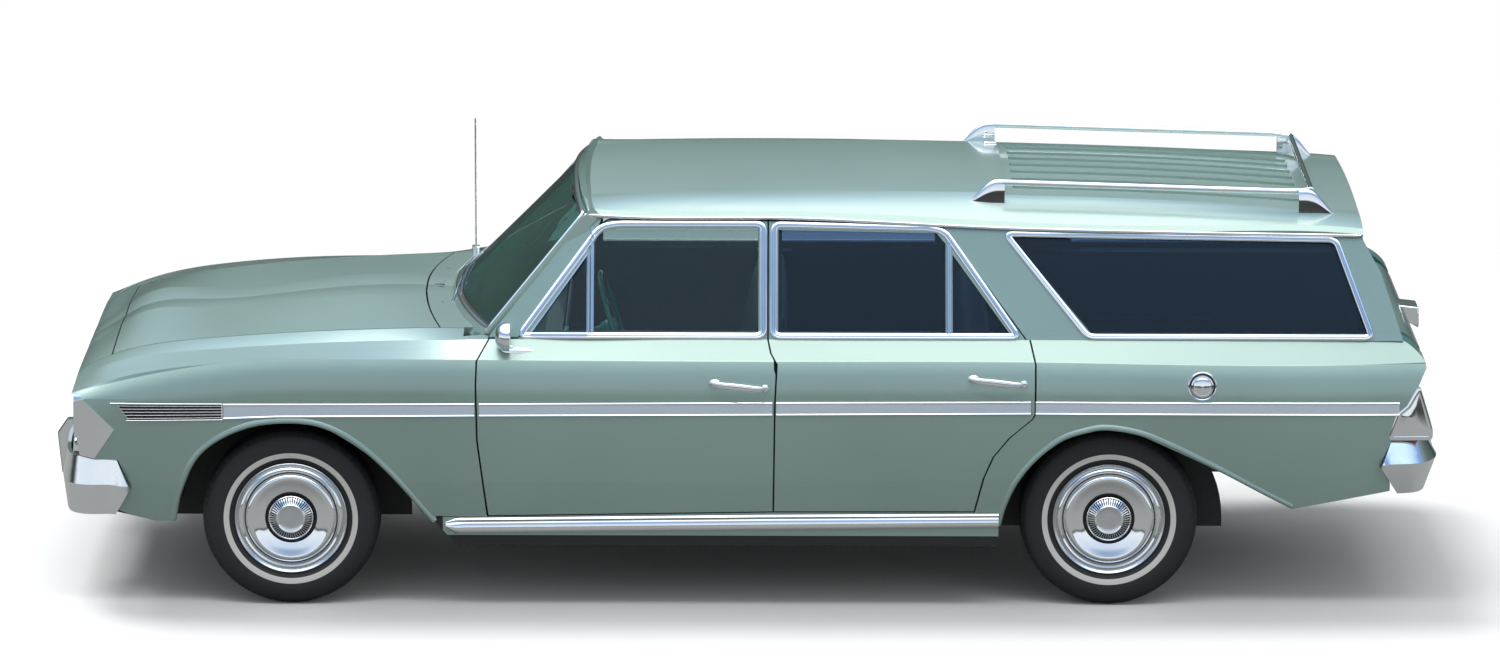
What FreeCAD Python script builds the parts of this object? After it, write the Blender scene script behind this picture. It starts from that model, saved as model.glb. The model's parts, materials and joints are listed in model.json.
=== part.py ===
import FreeCAD, Part
import math
import os

os.makedirs("parts", exist_ok=True)
V = FreeCAD.Vector

# Frame of the car: +X forward, +Y to its left, +Z up, origin on the floor at mid length.
# All sizes are in millimetres. What lies round the rear wheel and behind it is placed
# from the rear axle, so a longer wheelbase moves the whole tail.

# Running gear
FRONT_AXLE_X = 1580.0
WHEELBASE = 2845.0
REAR_AXLE_X = FRONT_AXLE_X - WHEELBASE
TRACK_FRONT = 1488.0
TRACK_REAR = 1460.0
TYRE_R = 310.0
TYRE_HALF = 92.0
HUB_Z = TYRE_R
RIM_R = 185.0
RIM_HALF = 68.0
RIM_WALL = 20.0
BEAD_GAP = 0.2
SPINDLE_R = 20.0
SPINDLE_END = 58.0
RUNNING_GAP = 0.3
HUB_R = 46.0
CAP_FACE = 95.0
CAP_CORE = 12.0
DISC_BACK = 60.0
DRUM_R = 108.0
DRUM_INNER = 46.0
DRUM_OUTER = 36.0
KINGPIN_INSET = 95.0
KNUCKLE_HALF = 26.0
KNUCKLE_HALF_HEIGHT = 110.0
ARM_R = 18.0
TOWER_TOP_Z = 700.0
BEAM_HALF = 420.0
SPRING_INSET = 260.0
SPRING_HALF = 24.0
AXLE_TUBE_R = 38.0

# Shut lines and walls
DOOR_GAP = 6.0
HOOD_GAP = 5.0
SEAL_GAP = 0.3
SKIN = 24.0
LID_WALL = 28.0
DOOR_INNER_Y = 752.0
POST_OUTER_Y = DOOR_INNER_Y - 9.0
POST_INNER_Y = POST_OUTER_Y - 54.0
SEAL_HALF = 8.0
QUARTER_INNER_Y = 690.0
HOUSE_WALL = 14.0
HOUSE_TOP_Z = 712.0
HOUSE_Y_REAR = 612.0
HOUSE_Y_FRONT = 480.0
SHELF_Z = 835.0
SHELF_T = 16.0
COWL_HALF = 645.0
HEADER_HALF = 572.0
OUT_Y = 1000.0
ABOVE_Z = 1000.0

# Greenhouse: one flat plane each side, leaning in from the belt to the roof rail
BELT_Z = 948.0
BELT_Y = 812.0
RAIL_Z = 1335.0
RAIL_Y = 655.0
FRAME_T = 34.0
GLASS_T = 6.0
SILL_LINE_Z = BELT_Z + 20.0

# Floor and cabin
FLOOR_Z = 275.0
FLOOR_T = 22.0
LOAD_Z = 600.0
SILL_BOTTOM_Z = 228.0
SILL_Y = 868.0
SILL_TOP_FRONT_Z = 328.0
SILL_TOP_REAR_Z = 347.0
SILL_REAR_X = REAR_AXLE_X + 386.0
BULKHEAD_X = 945.0
BENCH_HALF = 640.0

# Nose
HOOD_FRONT_X = 2212.0
HOOD_REAR_SIDE_X = 1068.0
HOOD_REAR_MID_X = 1140.0
GRILLE_HALF = 458.0
GRILLE_LOW_Z = 545.0
GRILLE_HIGH_Z = 752.0
GRILLE_BACK_X = 2262.0
GRILLE_BARS = 8
LAMP_COLUMNS = (548.0, 740.0)
LAMP_Z = 645.0
LAMP_R = 74.0
LAMP_CUP_R = LAMP_R + 4.0
BUMPER_GAP = 3.0
BUMPER_POCKET_Y = 853.0
BRACKET_Y = 400.0
BRACKET_HALF = 30.0

# Tail
GATE_HALF = 606.0
GATE_TAPER = 58.0
GATE_PIVOT_X = REAR_AXLE_X - 1035.0
GATE_PIVOT_Z = 640.0
GATE_PIN_R = 6.0
GATE_LUG_Y = 450.0
TAIL_GLASS_TOP_Z = 1300.0
LAMP_INNER_GAP = 12.0
REAR_PANEL_X = REAR_AXLE_X - 1031.0
REAR_PANEL_T = 40.0
REAR_PANEL_HALF = 800.0
REAR_POCKET_Y = 832.0

# Roof
ROOF_WALL = 30.0
RAIL_WIDTH = 80.0
HEADROOM_Y = 430.0
HEADROOM_DROP = 12.0
DRIP_OUT = 12.0
PAN_DEPTH = 8.0
RIB_COUNT = 7
RIB_PITCH = 120.0
RIB_HALF = 11.0
RACK_Y = 540.0
RACK_R = 11.0
RACK_FOOT_R = 14.0

# Steering wheel
STEER_AT = V(455.0, 370.0, 893.0)
STEER_LEAN = math.radians(17.0)
STEER_R = 200.0
STEER_GRIP_R = 9.0
COLUMN_R = 24.0

# Body sections. Columns: x, half width at the side moulding, height of the lower crease,
# height of the shoulder crease, inner top crease (y, z), hood seam (y, z),
# hood ridge height, centre height
STATIONS = [
    (2335.0, 850.0, 440.0, 756.0, 690.0, 763.0, 570.0, 770.0, 771.0, 772.0),
    (2300.0, 861.0, 441.0, 768.0, 690.0, 783.0, 572.0, 795.0, 797.0, 798.0),
    (2240.0, 869.0, 442.0, 791.0, 691.0, 818.0, 575.0, 825.0, 838.0, 834.0),
    (2185.0, 875.0, 443.0, 810.0, 692.0, 838.0, 578.0, 846.0, 878.0, 870.0),
    (1913.0, 889.0, 447.0, 861.0, 705.0, 880.0, 602.0, 897.0, 916.0, 912.0),
    (1578.0, 898.0, 451.0, 885.0, 720.0, 906.0, 625.0, 927.0, 947.0, 944.0),
    (1108.0, 904.0, 452.0, 889.0, 745.0, 927.0, 645.0, 949.0, 967.0, 965.0),
    (975.0, 905.0, 453.0, 889.0, 790.0, 938.0, 672.0, 950.0, 957.0, 956.0),
    (885.0, 905.0, 454.0, 888.0, 815.0, 946.0, 700.0, 949.0, 951.0, 951.0),
    (700.0, 905.0, 456.0, 887.0, 815.0, 948.0, 700.0, 949.0, 949.0, 949.0),
    (300.0, 905.0, 459.0, 885.0, 815.0, 948.0, 700.0, 949.0, 949.0, 949.0),
    (-105.0, 905.0, 462.0, 884.0, 815.0, 948.0, 700.0, 949.0, 949.0, 949.0),
    (REAR_AXLE_X + 265.0, 903.0, 470.0, 884.0, 815.0, 948.0, 700.0, 949.0, 949.0, 949.0),
    (REAR_AXLE_X - 447.0, 893.0, 478.0, 872.0, 812.0, 948.0, 700.0, 949.0, 949.0, 949.0),
    (REAR_AXLE_X - 935.0, 878.0, 483.0, 876.0, 806.0, 948.0, 700.0, 949.0, 949.0, 949.0),
    (REAR_AXLE_X - 1095.0, 868.0, 485.0, 881.0, 800.0, 948.0, 700.0, 949.0, 949.0, 949.0),
]
SECTION_BOTTOM_Z = 200.0
MOULDING_LOW_Z = 676.0
MOULDING_HIGH_Z = 744.0
RIDGE_Y = 173.0
SHOULDER_INSET = 21.0
CREASE_INSET = 11.0
BOTTOM_INSET = 58.0
# How far each run of the section bulges out past a straight line, from the sill to the hood ridge
BULGES = [0.0, 2.0, 3.0, 0.0, 3.0, 0.0, 1.0, 2.0, 2.0]

# Roof sections. Columns: x, height of the side rail, height of the crown
ROOF_STATIONS = [
    (610.0, 1352.0, 1398.0),
    (300.0, 1341.0, 1415.0),
    (-200.0, 1340.0, 1421.0),
    (REAR_AXLE_X + 385.0, 1311.0, 1415.0),
    (REAR_AXLE_X - 235.0, 1298.0, 1396.0),
    (REAR_AXLE_X - 875.0, 1289.0, 1352.0),
]
CROWN_Y = 470.0
CROWN_DROP = 15.0

# Side view outlines, as (x, z) corners; four numbers are an arc: mid x, mid z, end x, end z
DOOR_FRONT_EDGE = [(885.0, BELT_Z), (927.0, 884.0), (930.0, 800.0), (926.0, 608.0), (908.0, 466.0),
                   (891.0, 334.0)]
DOOR_SPLIT_EDGE = [(-94.0, 351.0), (-98.0, 735.0), (-105.0, 876.0), (-84.0, 908.0), (-74.0, BELT_Z)]
# These are given from an axle
REAR_DOOR_EDGE = [(473.0, 353.0), (443.0, 474.0), (410.0, 552.0), (355.0, 620.0), (276.0, 687.0),
                  (266.0, 705.0), (266.0, 877.0), (284.0, BELT_Z)]
FRONT_ARCH = [(-477.0, 331.0), (-320.0, 515.0, -132.0, 645.0), (20.0, 668.0, 200.0, 625.0),
              (332.0, 523.0, 399.0, 305.0)]
REAR_ARCH = [(-635.0, 360.0), (-375.0, 500.0, -99.0, 631.0), (35.0, 652.0, 168.0, 620.0),
             (322.0, 460.0, 386.0, 262.0)]
BEZEL = [(2306.0, GRILLE_HIGH_Z), (2327.0, GRILLE_HIGH_Z), (2328.0, 660.0), (2308.0, 540.0),
         (2256.0, 530.0), (2186.0, 635.0)]
FRONT_BUMPER_END = [(2132.0, 427.0), (2177.0, 526.0), (2256.0, 527.0), (2308.0, 537.0), (2500.0, 540.0),
                    (2500.0, 330.0), (2185.0, 334.0)]
REAR_BUMPER_END = [(-935.0, 517.0), (-973.0, 603.0), (-1235.0, 603.0), (-1235.0, 410.0), (-997.0, 416.0)]
TAIL_CREST = [(-1011.0, BELT_Z - 8.0), (-1057.0, 916.0, -1087.0, 880.0), (-1090.0, 862.0)]


def closed_wire(points, place):
    """Wire through corners and arcs; place turns a pair of numbers into a point."""
    edges = []
    start = place(points[0][0], points[0][1])
    last = start
    for entry in points[1:]:
        end = place(entry[-2], entry[-1])
        if len(entry) == 4:
            edges.append(Part.Arc(last, place(entry[0], entry[1]), end).toShape())
        else:
            edges.append(Part.LineSegment(last, end).toShape())
        last = end
    if (last - start).Length > 0.001:
        edges.append(Part.LineSegment(last, start).toShape())
    return Part.Wire(edges)


def side_prism(points, y0, y1):
    """Solid with a side view outline, from y0 to y1."""
    wire = closed_wire(points, lambda x, z: V(x, y0, z))
    return Part.Face(wire).extrude(V(0, y1 - y0, 0))


def plan_prism(points, z0, z1):
    """Solid with a plan view outline, from z0 to z1."""
    wire = closed_wire(points, lambda x, y: V(x, y, z0))
    return Part.Face(wire).extrude(V(0, 0, z1 - z0))


def end_prism(points, x0, x1):
    """Solid with an end view outline (y, z), from x0 to x1."""
    wire = closed_wire(points, lambda y, z: V(x0, y, z))
    return Part.Face(wire).extrude(V(x1 - x0, 0, 0))


def box(x0, x1, y0, y1, z0, z1):
    return Part.makeBox(x1 - x0, y1 - y0, z1 - z0, V(x0, y0, z0))


def rod(start, end, radius):
    return Part.makeCylinder(radius, (end - start).Length, start, end - start)


def mirrored(shape):
    return shape.mirror(V(0, 0, 0), V(0, 1, 0))


def both(shape):
    """The piece and its mirror image, joined where they meet."""
    return shape.fuse(mirrored(shape)).removeSplitter()


def fused(shapes):
    first = shapes[0]
    if len(shapes) > 1:
        first = first.fuse(shapes[1:])
    return first.removeSplitter()


def shifted(points, dx, dz=0.0):
    return [(p[0] + dx, p[1] + dz) if len(p) == 2 else
            (p[0] + dx, p[1] + dz, p[2] + dx, p[3] + dz) for p in points]


def aft(points):
    """Outline given from the rear axle, put in the car's frame."""
    return shifted(points, REAR_AXLE_X)


def lathe(points, centre, axis, outward):
    """Solid turned round an axis, from corners given as (along the axis, radius)."""
    wire = closed_wire(points, lambda a, r: centre + axis * a + outward * r)
    return Part.Face(wire).revolve(centre, axis, 360)


def green_y(z):
    """Half width of the side glass plane at a height."""
    return BELT_Y + (z - BELT_Z) * (RAIL_Y - BELT_Y) / (RAIL_Z - BELT_Z)


def bulged(a, b, bulge):
    """Edge from a to b in an end view, an arc that stands out by the bulge."""
    if bulge == 0.0:
        return Part.LineSegment(a, b).toShape()
    run = b - a
    out = V(0, run.z, -run.y)
    out.normalize()
    return Part.Arc(a, (a + b) * 0.5 + out * bulge, b).toShape()


def half_body(grow=0.0):
    """Left half of the lower body as one smooth loft, with a sharp line along each crease."""
    wires = []
    for (x, w, z_low, z_sh, y_a, z_a, y_s, z_s, z_r, z_m) in STATIONS:
        wide = w + grow
        # at the wing's front corner the moulding line drops below the shoulder
        high = min(MOULDING_HIGH_Z, z_sh - 30.0)
        pts = [
            (0.0, SECTION_BOTTOM_Z), (wide - BOTTOM_INSET, SECTION_BOTTOM_Z),
            (wide - CREASE_INSET, z_low), (wide, MOULDING_LOW_Z), (wide, high),
            (wide - SHOULDER_INSET, z_sh), (y_a, z_a), (y_s, z_s), (RIDGE_Y, z_r), (0.0, z_m),
        ]
        corners = [V(x, y, z) for y, z in pts]
        edges = [bulged(a, b, bulge) for a, b, bulge in zip(corners, corners[1:], BULGES)]
        edges.append(Part.LineSegment(corners[-1], corners[0]).toShape())
        wires.append(Part.Wire(edges))
    return Part.makeLoft(wires, True, False)


def green_slab(depth0, depth1):
    """Leaning slab beside the side glass plane, between two depths inboard of it."""
    low, high = BELT_Z - 30.0, RAIL_Z + 60.0
    pts = [(green_y(low) - depth0, low), (green_y(high) - depth0, high),
           (green_y(high) - depth1, high), (green_y(low) - depth1, low)]
    return end_prism(pts, REAR_AXLE_X - 1135.0, 1200.0)


def roof_section(x, z_edge, z_crown):
    """Closed wire of the roof at x: drip rail, haunch and crown, and straight across below."""
    edge = green_y(z_edge)
    shoulder = (edge - 6.0, z_edge + 26.0)
    crown = (CROWN_Y, z_crown - CROWN_DROP)
    blend = 0.6
    haunch = ((shoulder[0] + crown[0]) / 2 + 30.0, crown[1] * (1 - blend) + shoulder[1] * blend + 4.0)
    ring = [(edge + DRIP_OUT, z_edge), (edge + DRIP_OUT, z_edge + 8.0), shoulder,
            haunch + crown, (0.0, z_crown, -crown[0], crown[1]),
            (-haunch[0], haunch[1], -shoulder[0], shoulder[1]),
            (-edge - DRIP_OUT, z_edge + 8.0), (-edge - DRIP_OUT, z_edge)]
    return closed_wire(ring, lambda y, z: V(x, y, z))


def headroom_section(x, z_edge, z_crown):
    """Closed wire of the hollow under the roof at x."""
    inner = green_y(z_edge) - RAIL_WIDTH
    high = z_crown - ROOF_WALL
    ring = [(-inner, z_edge - ROOF_WALL), (-inner, z_edge), (-HEADROOM_Y, high - HEADROOM_DROP), (0.0, high),
            (HEADROOM_Y, high - HEADROOM_DROP), (inner, z_edge), (inner, z_edge - ROOF_WALL)]
    return closed_wire(ring, lambda y, z: V(x, y, z))


def roof_hull():
    """Solid under the roof skin, used to seat the rack and cut the pan."""
    return Part.makeLoft([roof_section(*row) for row in ROOF_STATIONS], True, False)


BODY = half_body()
WHOLE = both(BODY)
UNDER_LID = WHOLE.translated(V(0, 0, -LID_WALL))
SLAB = green_slab(0.0, FRAME_T)
PANE = green_slab(FRAME_T / 2 - GLASS_T / 2, FRAME_T / 2 + GLASS_T / 2)
HULL = roof_hull()
HULL_CLEAR = HULL.translated(V(0, 0, -DOOR_GAP))
NODES = {}


def seam_y(x):
    """Half width of the hood seam at x, read between the sections."""
    for (a, b) in zip(STATIONS, STATIONS[1:]):
        if b[0] <= x <= a[0]:
            t = (x - b[0]) / (a[0] - b[0])
            return b[6] + t * (a[6] - b[6])
    return STATIONS[0][6]


SEAM = [(x, seam_y(x)) for x in (HOOD_FRONT_X, 1913.0, 1578.0, 1108.0)]


def build_hood():
    """Lid inside the seam by a gap, with an arched rear edge, and hollow underneath."""
    left = [(x, y - HOOD_GAP) for x, y in SEAM]
    rear_y = left[-1][1]
    plan = ([(x, -y) for x, y in left] + [(HOOD_REAR_SIDE_X, -rear_y)]
            + [(HOOD_REAR_MID_X, 0.0, HOOD_REAR_SIDE_X, rear_y)] + left[::-1])
    return WHOLE.common(plan_prism(plan, 700.0, 1100.0)).cut(UNDER_LID)


def front_fender():
    """Wing: outer skin, top shelf beside the hood and apron inboard of the wheel."""
    edge = shifted(DOOR_FRONT_EDGE, DOOR_GAP)
    outline = ([(edge[-1][0], SILL_TOP_FRONT_Z + SEAL_GAP)] + shifted(FRONT_ARCH, FRONT_AXLE_X)
               + [(2046.0, 305.0), (2184.0, 337.0), (2235.0, 345.0), (2235.0, 528.0), (2256.0, 528.0),
                  (2186.0, 635.0), (2306.0, GRILLE_HIGH_Z), (2400.0, GRILLE_HIGH_Z), (2400.0, ABOVE_Z),
                  (edge[0][0], ABOVE_Z)]
               + edge[:-1])
    wing = BODY.common(side_prism(outline, HOUSE_Y_FRONT - HOUSE_WALL, OUT_Y))
    inner = 300.0
    rear_x = BULKHEAD_X + 30.0
    bay = plan_prism([(HOOD_FRONT_X, inner)] + SEAM
                     + [(HOOD_REAR_SIDE_X - DOOR_GAP, COWL_HALF), (rear_x, COWL_HALF), (rear_x, inner)],
                     SHELF_Z + SHELF_T, 1100.0)
    low_nose = plan_prism([(2400.0, inner), (2400.0, HEADER_HALF)] + SEAM + [(1108.0, inner)], 600.0, 1100.0)
    low_nose = low_nose.cut(WHOLE.translated(V(0, 0, -LID_WALL - DOOR_GAP)))
    well = side_prism(shifted([(-570.0, 150.0), (-570.0, 640.0), (-400.0, SHELF_Z), (420.0, SHELF_Z),
                               (570.0, 700.0), (570.0, 150.0)], FRONT_AXLE_X), HOUSE_Y_FRONT, SILL_Y - SKIN)
    cuts = [
        bay, low_nose, well,
        box(HOOD_FRONT_X, 2400.0, inner, HEADER_HALF, GRILLE_HIGH_Z, 1100.0),
        box(800.0, BULKHEAD_X + 35.0, inner, POST_OUTER_Y + DOOR_GAP, 200.0, 1100.0),
        box(800.0, HOOD_REAR_SIDE_X - DOOR_GAP, inner, COWL_HALF, SHELF_Z + SHELF_T, 1100.0),
        side_prism(shifted(FRONT_BUMPER_END, -BUMPER_GAP), BUMPER_POCKET_Y, OUT_Y),
    ]
    return wing.cut(cuts)


def glazed(frame, panes):
    """Frame with its window holes, and the glass that fills each of them."""
    glass = []
    for pane in panes:
        hole = side_prism(pane, 400.0, OUT_Y)
        frame = frame.cut(hole)
        glass.append(PANE.common(hole))
    return frame.cut(HULL_CLEAR), Part.makeCompound(glass)


def door_shell(outline):
    """Door below the belt, through its whole thickness."""
    low = box(-3000.0, 3000.0, 0.0, OUT_Y, 0.0, BELT_Z)
    return BODY.common(side_prism(outline, DOOR_INNER_Y, OUT_Y)).common(low)


def front_door():
    shell = door_shell(DOOR_FRONT_EDGE + DOOR_SPLIT_EDGE)
    # the rear inner corner is drawn back so that it swings clear of the rear door
    corner = plan_prism([(-60.0, 700.0), (-120.0, 700.0), (-120.0, 905.0), (-98.0, 890.0),
                         (-74.0, DOOR_INNER_Y - 2.0)], 300.0, 940.0)
    outline = [(786.0, BELT_Z), (505.0, 1316.0), (484.0, 1331.0, 440.0, 1333.0), (-74.0, 1333.0),
               (-74.0, BELT_Z)]
    frame, glass = glazed(SLAB.common(side_prism(outline, 400.0, OUT_Y)), [
        [(742.0, SILL_LINE_Z), (552.0, 1220.0), (552.0, SILL_LINE_Z)],
        [(528.0, SILL_LINE_Z), (528.0, 1252.0), (490.0, 1300.0, 440.0, 1304.0), (-44.0, 1306.0),
         (-44.0, SILL_LINE_Z)],
    ])
    return fused([shell.cut(corner), frame]), glass


def rear_door():
    r = REAR_AXLE_X
    front = shifted(DOOR_SPLIT_EDGE[::-1], -DOOR_GAP)
    rear = aft(REAR_DOOR_EDGE)
    shell = door_shell(front + rear)
    # the rear inner corner is drawn forward so that it swings clear of the quarter panel
    corner = side_prism(shifted(rear, 18.0) + [(r + 165.0, BELT_Z), (r + 165.0, 353.0)],
                        DOOR_INNER_Y - 10.0, DOOR_INNER_Y + 110.0)
    outer = DOOR_INNER_Y + 110.0
    corner = corner.common(end_prism([(700.0, 300.0), (outer, 300.0), (outer, 880.0),
                                      (DOOR_INNER_Y + 46.0, BELT_Z), (700.0, BELT_Z)], r + 100.0, r + 600.0))
    outline = [(-80.0, BELT_Z), (-80.0, 1333.0), (r + 625.0, 1321.0), (r + 593.0, 1318.0, r + 571.0, 1300.0),
               (r + 297.0, BELT_Z)]
    frame, glass = glazed(SLAB.common(side_prism(outline, 400.0, OUT_Y)), [
        [(-112.0, SILL_LINE_Z), (-112.0, 1305.0), (r + 605.0, 1296.0), (r + 573.0, 1262.0),
         (r + 573.0, SILL_LINE_Z)],
        [(r + 549.0, SILL_LINE_Z), (r + 549.0, 1226.0), (r + 351.0, SILL_LINE_Z)],
    ])
    return fused([shell.cut(corner), frame]), glass


def quarter_panel():
    """Rear side: skin round the wheel, wheel house, C and D pillars, corner beside the tailgate."""
    r = REAR_AXLE_X
    outline = ([(465.0, 262.0)] + shifted(REAR_DOOR_EDGE, -DOOR_GAP)
               + [(-1011.0, BELT_Z)] + TAIL_CREST[1:]
               + [(-1031.0, 728.0), (-997.0, 700.0), (-971.0, 618.0), (-971.0, 425.0)] + REAR_ARCH)
    skin = BODY.common(side_prism(aft(outline), HOUSE_Y_REAR - HOUSE_WALL, OUT_Y))
    roof_of_house = HOUSE_TOP_Z - HOUSE_WALL
    tub = [(405.0, 150.0), (335.0, 560.0), (255.0, roof_of_house), (-295.0, roof_of_house), (-395.0, 600.0),
           (-435.0, 150.0)]
    inner = 300.0
    skin = skin.cut([
        side_prism(aft(tub), HOUSE_Y_REAR, SILL_Y - SKIN),
        box(r - 1135.0, r + 565.0, inner, QUARTER_INNER_Y, HOUSE_TOP_Z, 1100.0),
        box(r - 990.0, r - 447.0, inner, QUARTER_INNER_Y, 150.0, 1100.0),
        box(r - 1135.0, r - 935.0, inner, GATE_HALF + DOOR_GAP, 150.0, 1100.0),
        box(r + 397.0, r + 565.0, inner, POST_OUTER_Y + DOOR_GAP, 150.0, 1100.0),
        box(r + 360.0, r + 565.0, inner, OUT_Y, 100.0, SILL_TOP_REAR_Z),
        side_prism(shifted(aft(REAR_BUMPER_END), BUMPER_GAP), REAR_POCKET_Y, OUT_Y),
    ])
    upper = SLAB.common(side_prism(aft([
        (291.0, BELT_Z), (565.0, 1302.0), (585.0, 1320.0), (385.0, 1311.0), (-235.0, 1298.0),
        (-867.0, 1289.0), (-936.0, 1171.0), (-1011.0, BELT_Z)]), 400.0, OUT_Y))
    hole = side_prism(aft([(69.0, SILL_LINE_Z), (351.0, 1286.0), (-773.0, 1268.0), (-891.0, SILL_LINE_Z)]),
                      400.0, OUT_Y)
    post = side_prism(aft([(-1011.0, BELT_Z), (-867.0, 1289.0), (-830.0, 1289.0), (-971.0, BELT_Z)]),
                      400.0, OUT_Y)
    post = post.common(end_prism([
        (GATE_HALF, BELT_Z), (green_y(BELT_Z), BELT_Z), (green_y(TAIL_GLASS_TOP_Z), TAIL_GLASS_TOP_Z),
        (GATE_HALF - GATE_TAPER, TAIL_GLASS_TOP_Z)], r - 1135.0, r - 735.0))
    panel = fused([skin, upper.cut([hole, HULL]), post.cut(HULL)])
    return panel, PANE.common(hole)


def build_roof():
    """Roof skin with a sunk, ribbed pan over the load space."""
    r = REAR_AXLE_X
    shell = HULL.cut(Part.makeLoft([headroom_section(*row) for row in ROOF_STATIONS], True, True))
    rear = r - 935.0
    shell = shell.common(plan_prism([
        (rear, -800.0), (480.0, -800.0), (548.0, -660.0), (594.0, 0.0, 548.0, 660.0), (480.0, 800.0),
        (rear, 800.0)], 1200.0, 1500.0))
    half = RACK_Y - 25.0
    pan = plan_prism(aft([(360.0, -half), (-635.0, -half), (-697.0, 25.0 - half, -720.0, 85.0 - half),
                          (-720.0, half - 85.0), (-697.0, half - 25.0, -635.0, half), (360.0, half)]),
                     1200.0, 1500.0)
    pocket = HULL.common(pan).cut(HULL.translated(V(0, 0, -PAN_DEPTH)))
    ribs = []
    for i in range(RIB_COUNT):
        y = (i - (RIB_COUNT - 1) / 2) * RIB_PITCH
        ribs.append(box(r - 665.0, r + 320.0, y - RIB_HALF, y + RIB_HALF, 1200.0, 1500.0))
        for x in (r - 665.0, r + 320.0):
            ribs.append(Part.makeCylinder(RIB_HALF, 300.0, V(x, y, 1200.0)))
    return shell.cut(pocket.cut(ribs))


def cowl_panel():
    """Panel between the hood and the windscreen."""
    front_x, edge_y = HOOD_REAR_SIDE_X - DOOR_GAP, COWL_HALF - 4.0
    plan = [(front_x, -edge_y), (HOOD_REAR_MID_X - DOOR_GAP, 0.0, front_x, edge_y), (905.0, edge_y),
            (1010.0, 0.0, 905.0, -edge_y)]
    return WHOLE.common(plan_prism(plan, 800.0, 1100.0)).cut(UNDER_LID)


def screen_face(grow):
    """Ruled face between an arc at the cowl and an arc at the header, grown at its edges."""
    base_y, top_y, base_z, top_z = 738.0 + grow, 632.0 + grow, BELT_Z - grow, 1352.0 + grow
    low = Part.Arc(V(893 + grow, -base_y, base_z), V(1033 + grow, 0, base_z + 18.0),
                   V(893 + grow, base_y, base_z))
    high = Part.Arc(V(556 - grow, -top_y, top_z), V(594 - grow, 0, top_z + 40.0), V(556 - grow, top_y, top_z))
    return Part.makeRuledSurface(low.toShape(), high.toShape())


SCREEN_OUT = V(0.70, 0.0, 0.71)


def screen_layer(grow, start, depth):
    """Slab that follows the screen, from start outside it to a depth inwards."""
    return screen_face(grow).translated(SCREEN_OUT * start).extrude(SCREEN_OUT * (-depth))


def windscreen_and_cowl():
    """Cowl panel, windscreen pillars and header as one ring, and the screen in it."""
    hole_grow = -4.0
    ring = screen_layer(26.0, 6.0, 40.0).cut(screen_layer(hole_grow, 30.0, 90.0))
    pillar = SLAB.common(side_prism([(893.0, BELT_Z), (548.0, 1352.0), (500.0, 1344.0), (512.0, 1317.0),
                                     (793.0, BELT_Z)], 400.0, OUT_Y))
    over_door = both(box(-3000.0, 940.0, POST_OUTER_Y, OUT_Y, 0.0, BELT_Z + DOOR_GAP))
    frame = fused([ring, pillar, mirrored(pillar)])
    frame = frame.cut([HULL, over_door, NODES["front_fender_left"], NODES["front_fender_right"]])
    cowl = fused([frame, cowl_panel()])
    screen = screen_layer(hole_grow - SEAL_GAP, 0.0, GLASS_T)
    return cowl, screen.cut([HULL, cowl])


def wheel_parts(x, side, track):
    """Tyre and wheel of one corner, turned about the hub. side is +1 on the left."""
    centre = V(x, side * track / 2, HUB_Z)
    axis = V(0, side, 0)
    up = V(0, 0, 1)
    bead = RIM_R - BEAD_GAP
    tread = TYRE_R - 8.0
    tyre = lathe([(-66.0, RIM_R), (-86.0, 214.0), (-TYRE_HALF, 246.0), (-84.0, 280.0), (-66.0, tread),
                  (-34.0, TYRE_R), (34.0, TYRE_R), (66.0, tread), (84.0, 280.0), (TYRE_HALF, 246.0),
                  (86.0, 214.0), (66.0, RIM_R)], centre, axis, up)
    well = bead - RIM_WALL
    wheel = lathe([(-RIM_HALF - 5.0, well), (-RIM_HALF - 5.0, RIM_R), (-RIM_HALF + 2.0, bead),
                   (RIM_HALF - 2.0, bead), (RIM_HALF + 7.0, RIM_R + 2.0), (RIM_HALF + 9.0, RIM_R - 6.0),
                   (76.0, 120.0), (80.0, 80.0), (90.0, 48.0), (CAP_FACE, CAP_CORE),
                   (DISC_BACK, CAP_CORE), (DISC_BACK, 100.0), (44.0, 150.0), (44.0, well)], centre, axis, up)
    core = rod(centre + axis * DISC_BACK, centre + axis * CAP_FACE, CAP_CORE)
    bore = SPINDLE_R + RUNNING_GAP
    hub = lathe([(DISC_BACK, bore), (DISC_BACK, HUB_R), (-30.0, HUB_R), (-30.0, bore)], centre, axis, up)
    return tyre, fused([wheel, core, hub])


def across(x, z, start, end, radius):
    """Rod across the car at one x and z."""
    return rod(V(x, start, z), V(x, end, z), radius)


def knuckle(side):
    """Upright with its brake plate and spindle, turning on the kingpin."""
    cy = side * TRACK_FRONT / 2
    lo, hi = sorted((cy - side * (KINGPIN_INSET + 20.0), cy - side * DRUM_OUTER))
    body = box(FRONT_AXLE_X - KNUCKLE_HALF, FRONT_AXLE_X + KNUCKLE_HALF, lo, hi,
               HUB_Z - KNUCKLE_HALF_HEIGHT, HUB_Z + KNUCKLE_HALF_HEIGHT)
    plate = across(FRONT_AXLE_X, HUB_Z, cy - side * DRUM_INNER, cy - side * DRUM_OUTER, DRUM_R)
    spindle = across(FRONT_AXLE_X, HUB_Z, cy - side * 60.0, cy + side * SPINDLE_END, SPINDLE_R)
    return fused([body, plate, spindle])


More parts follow.
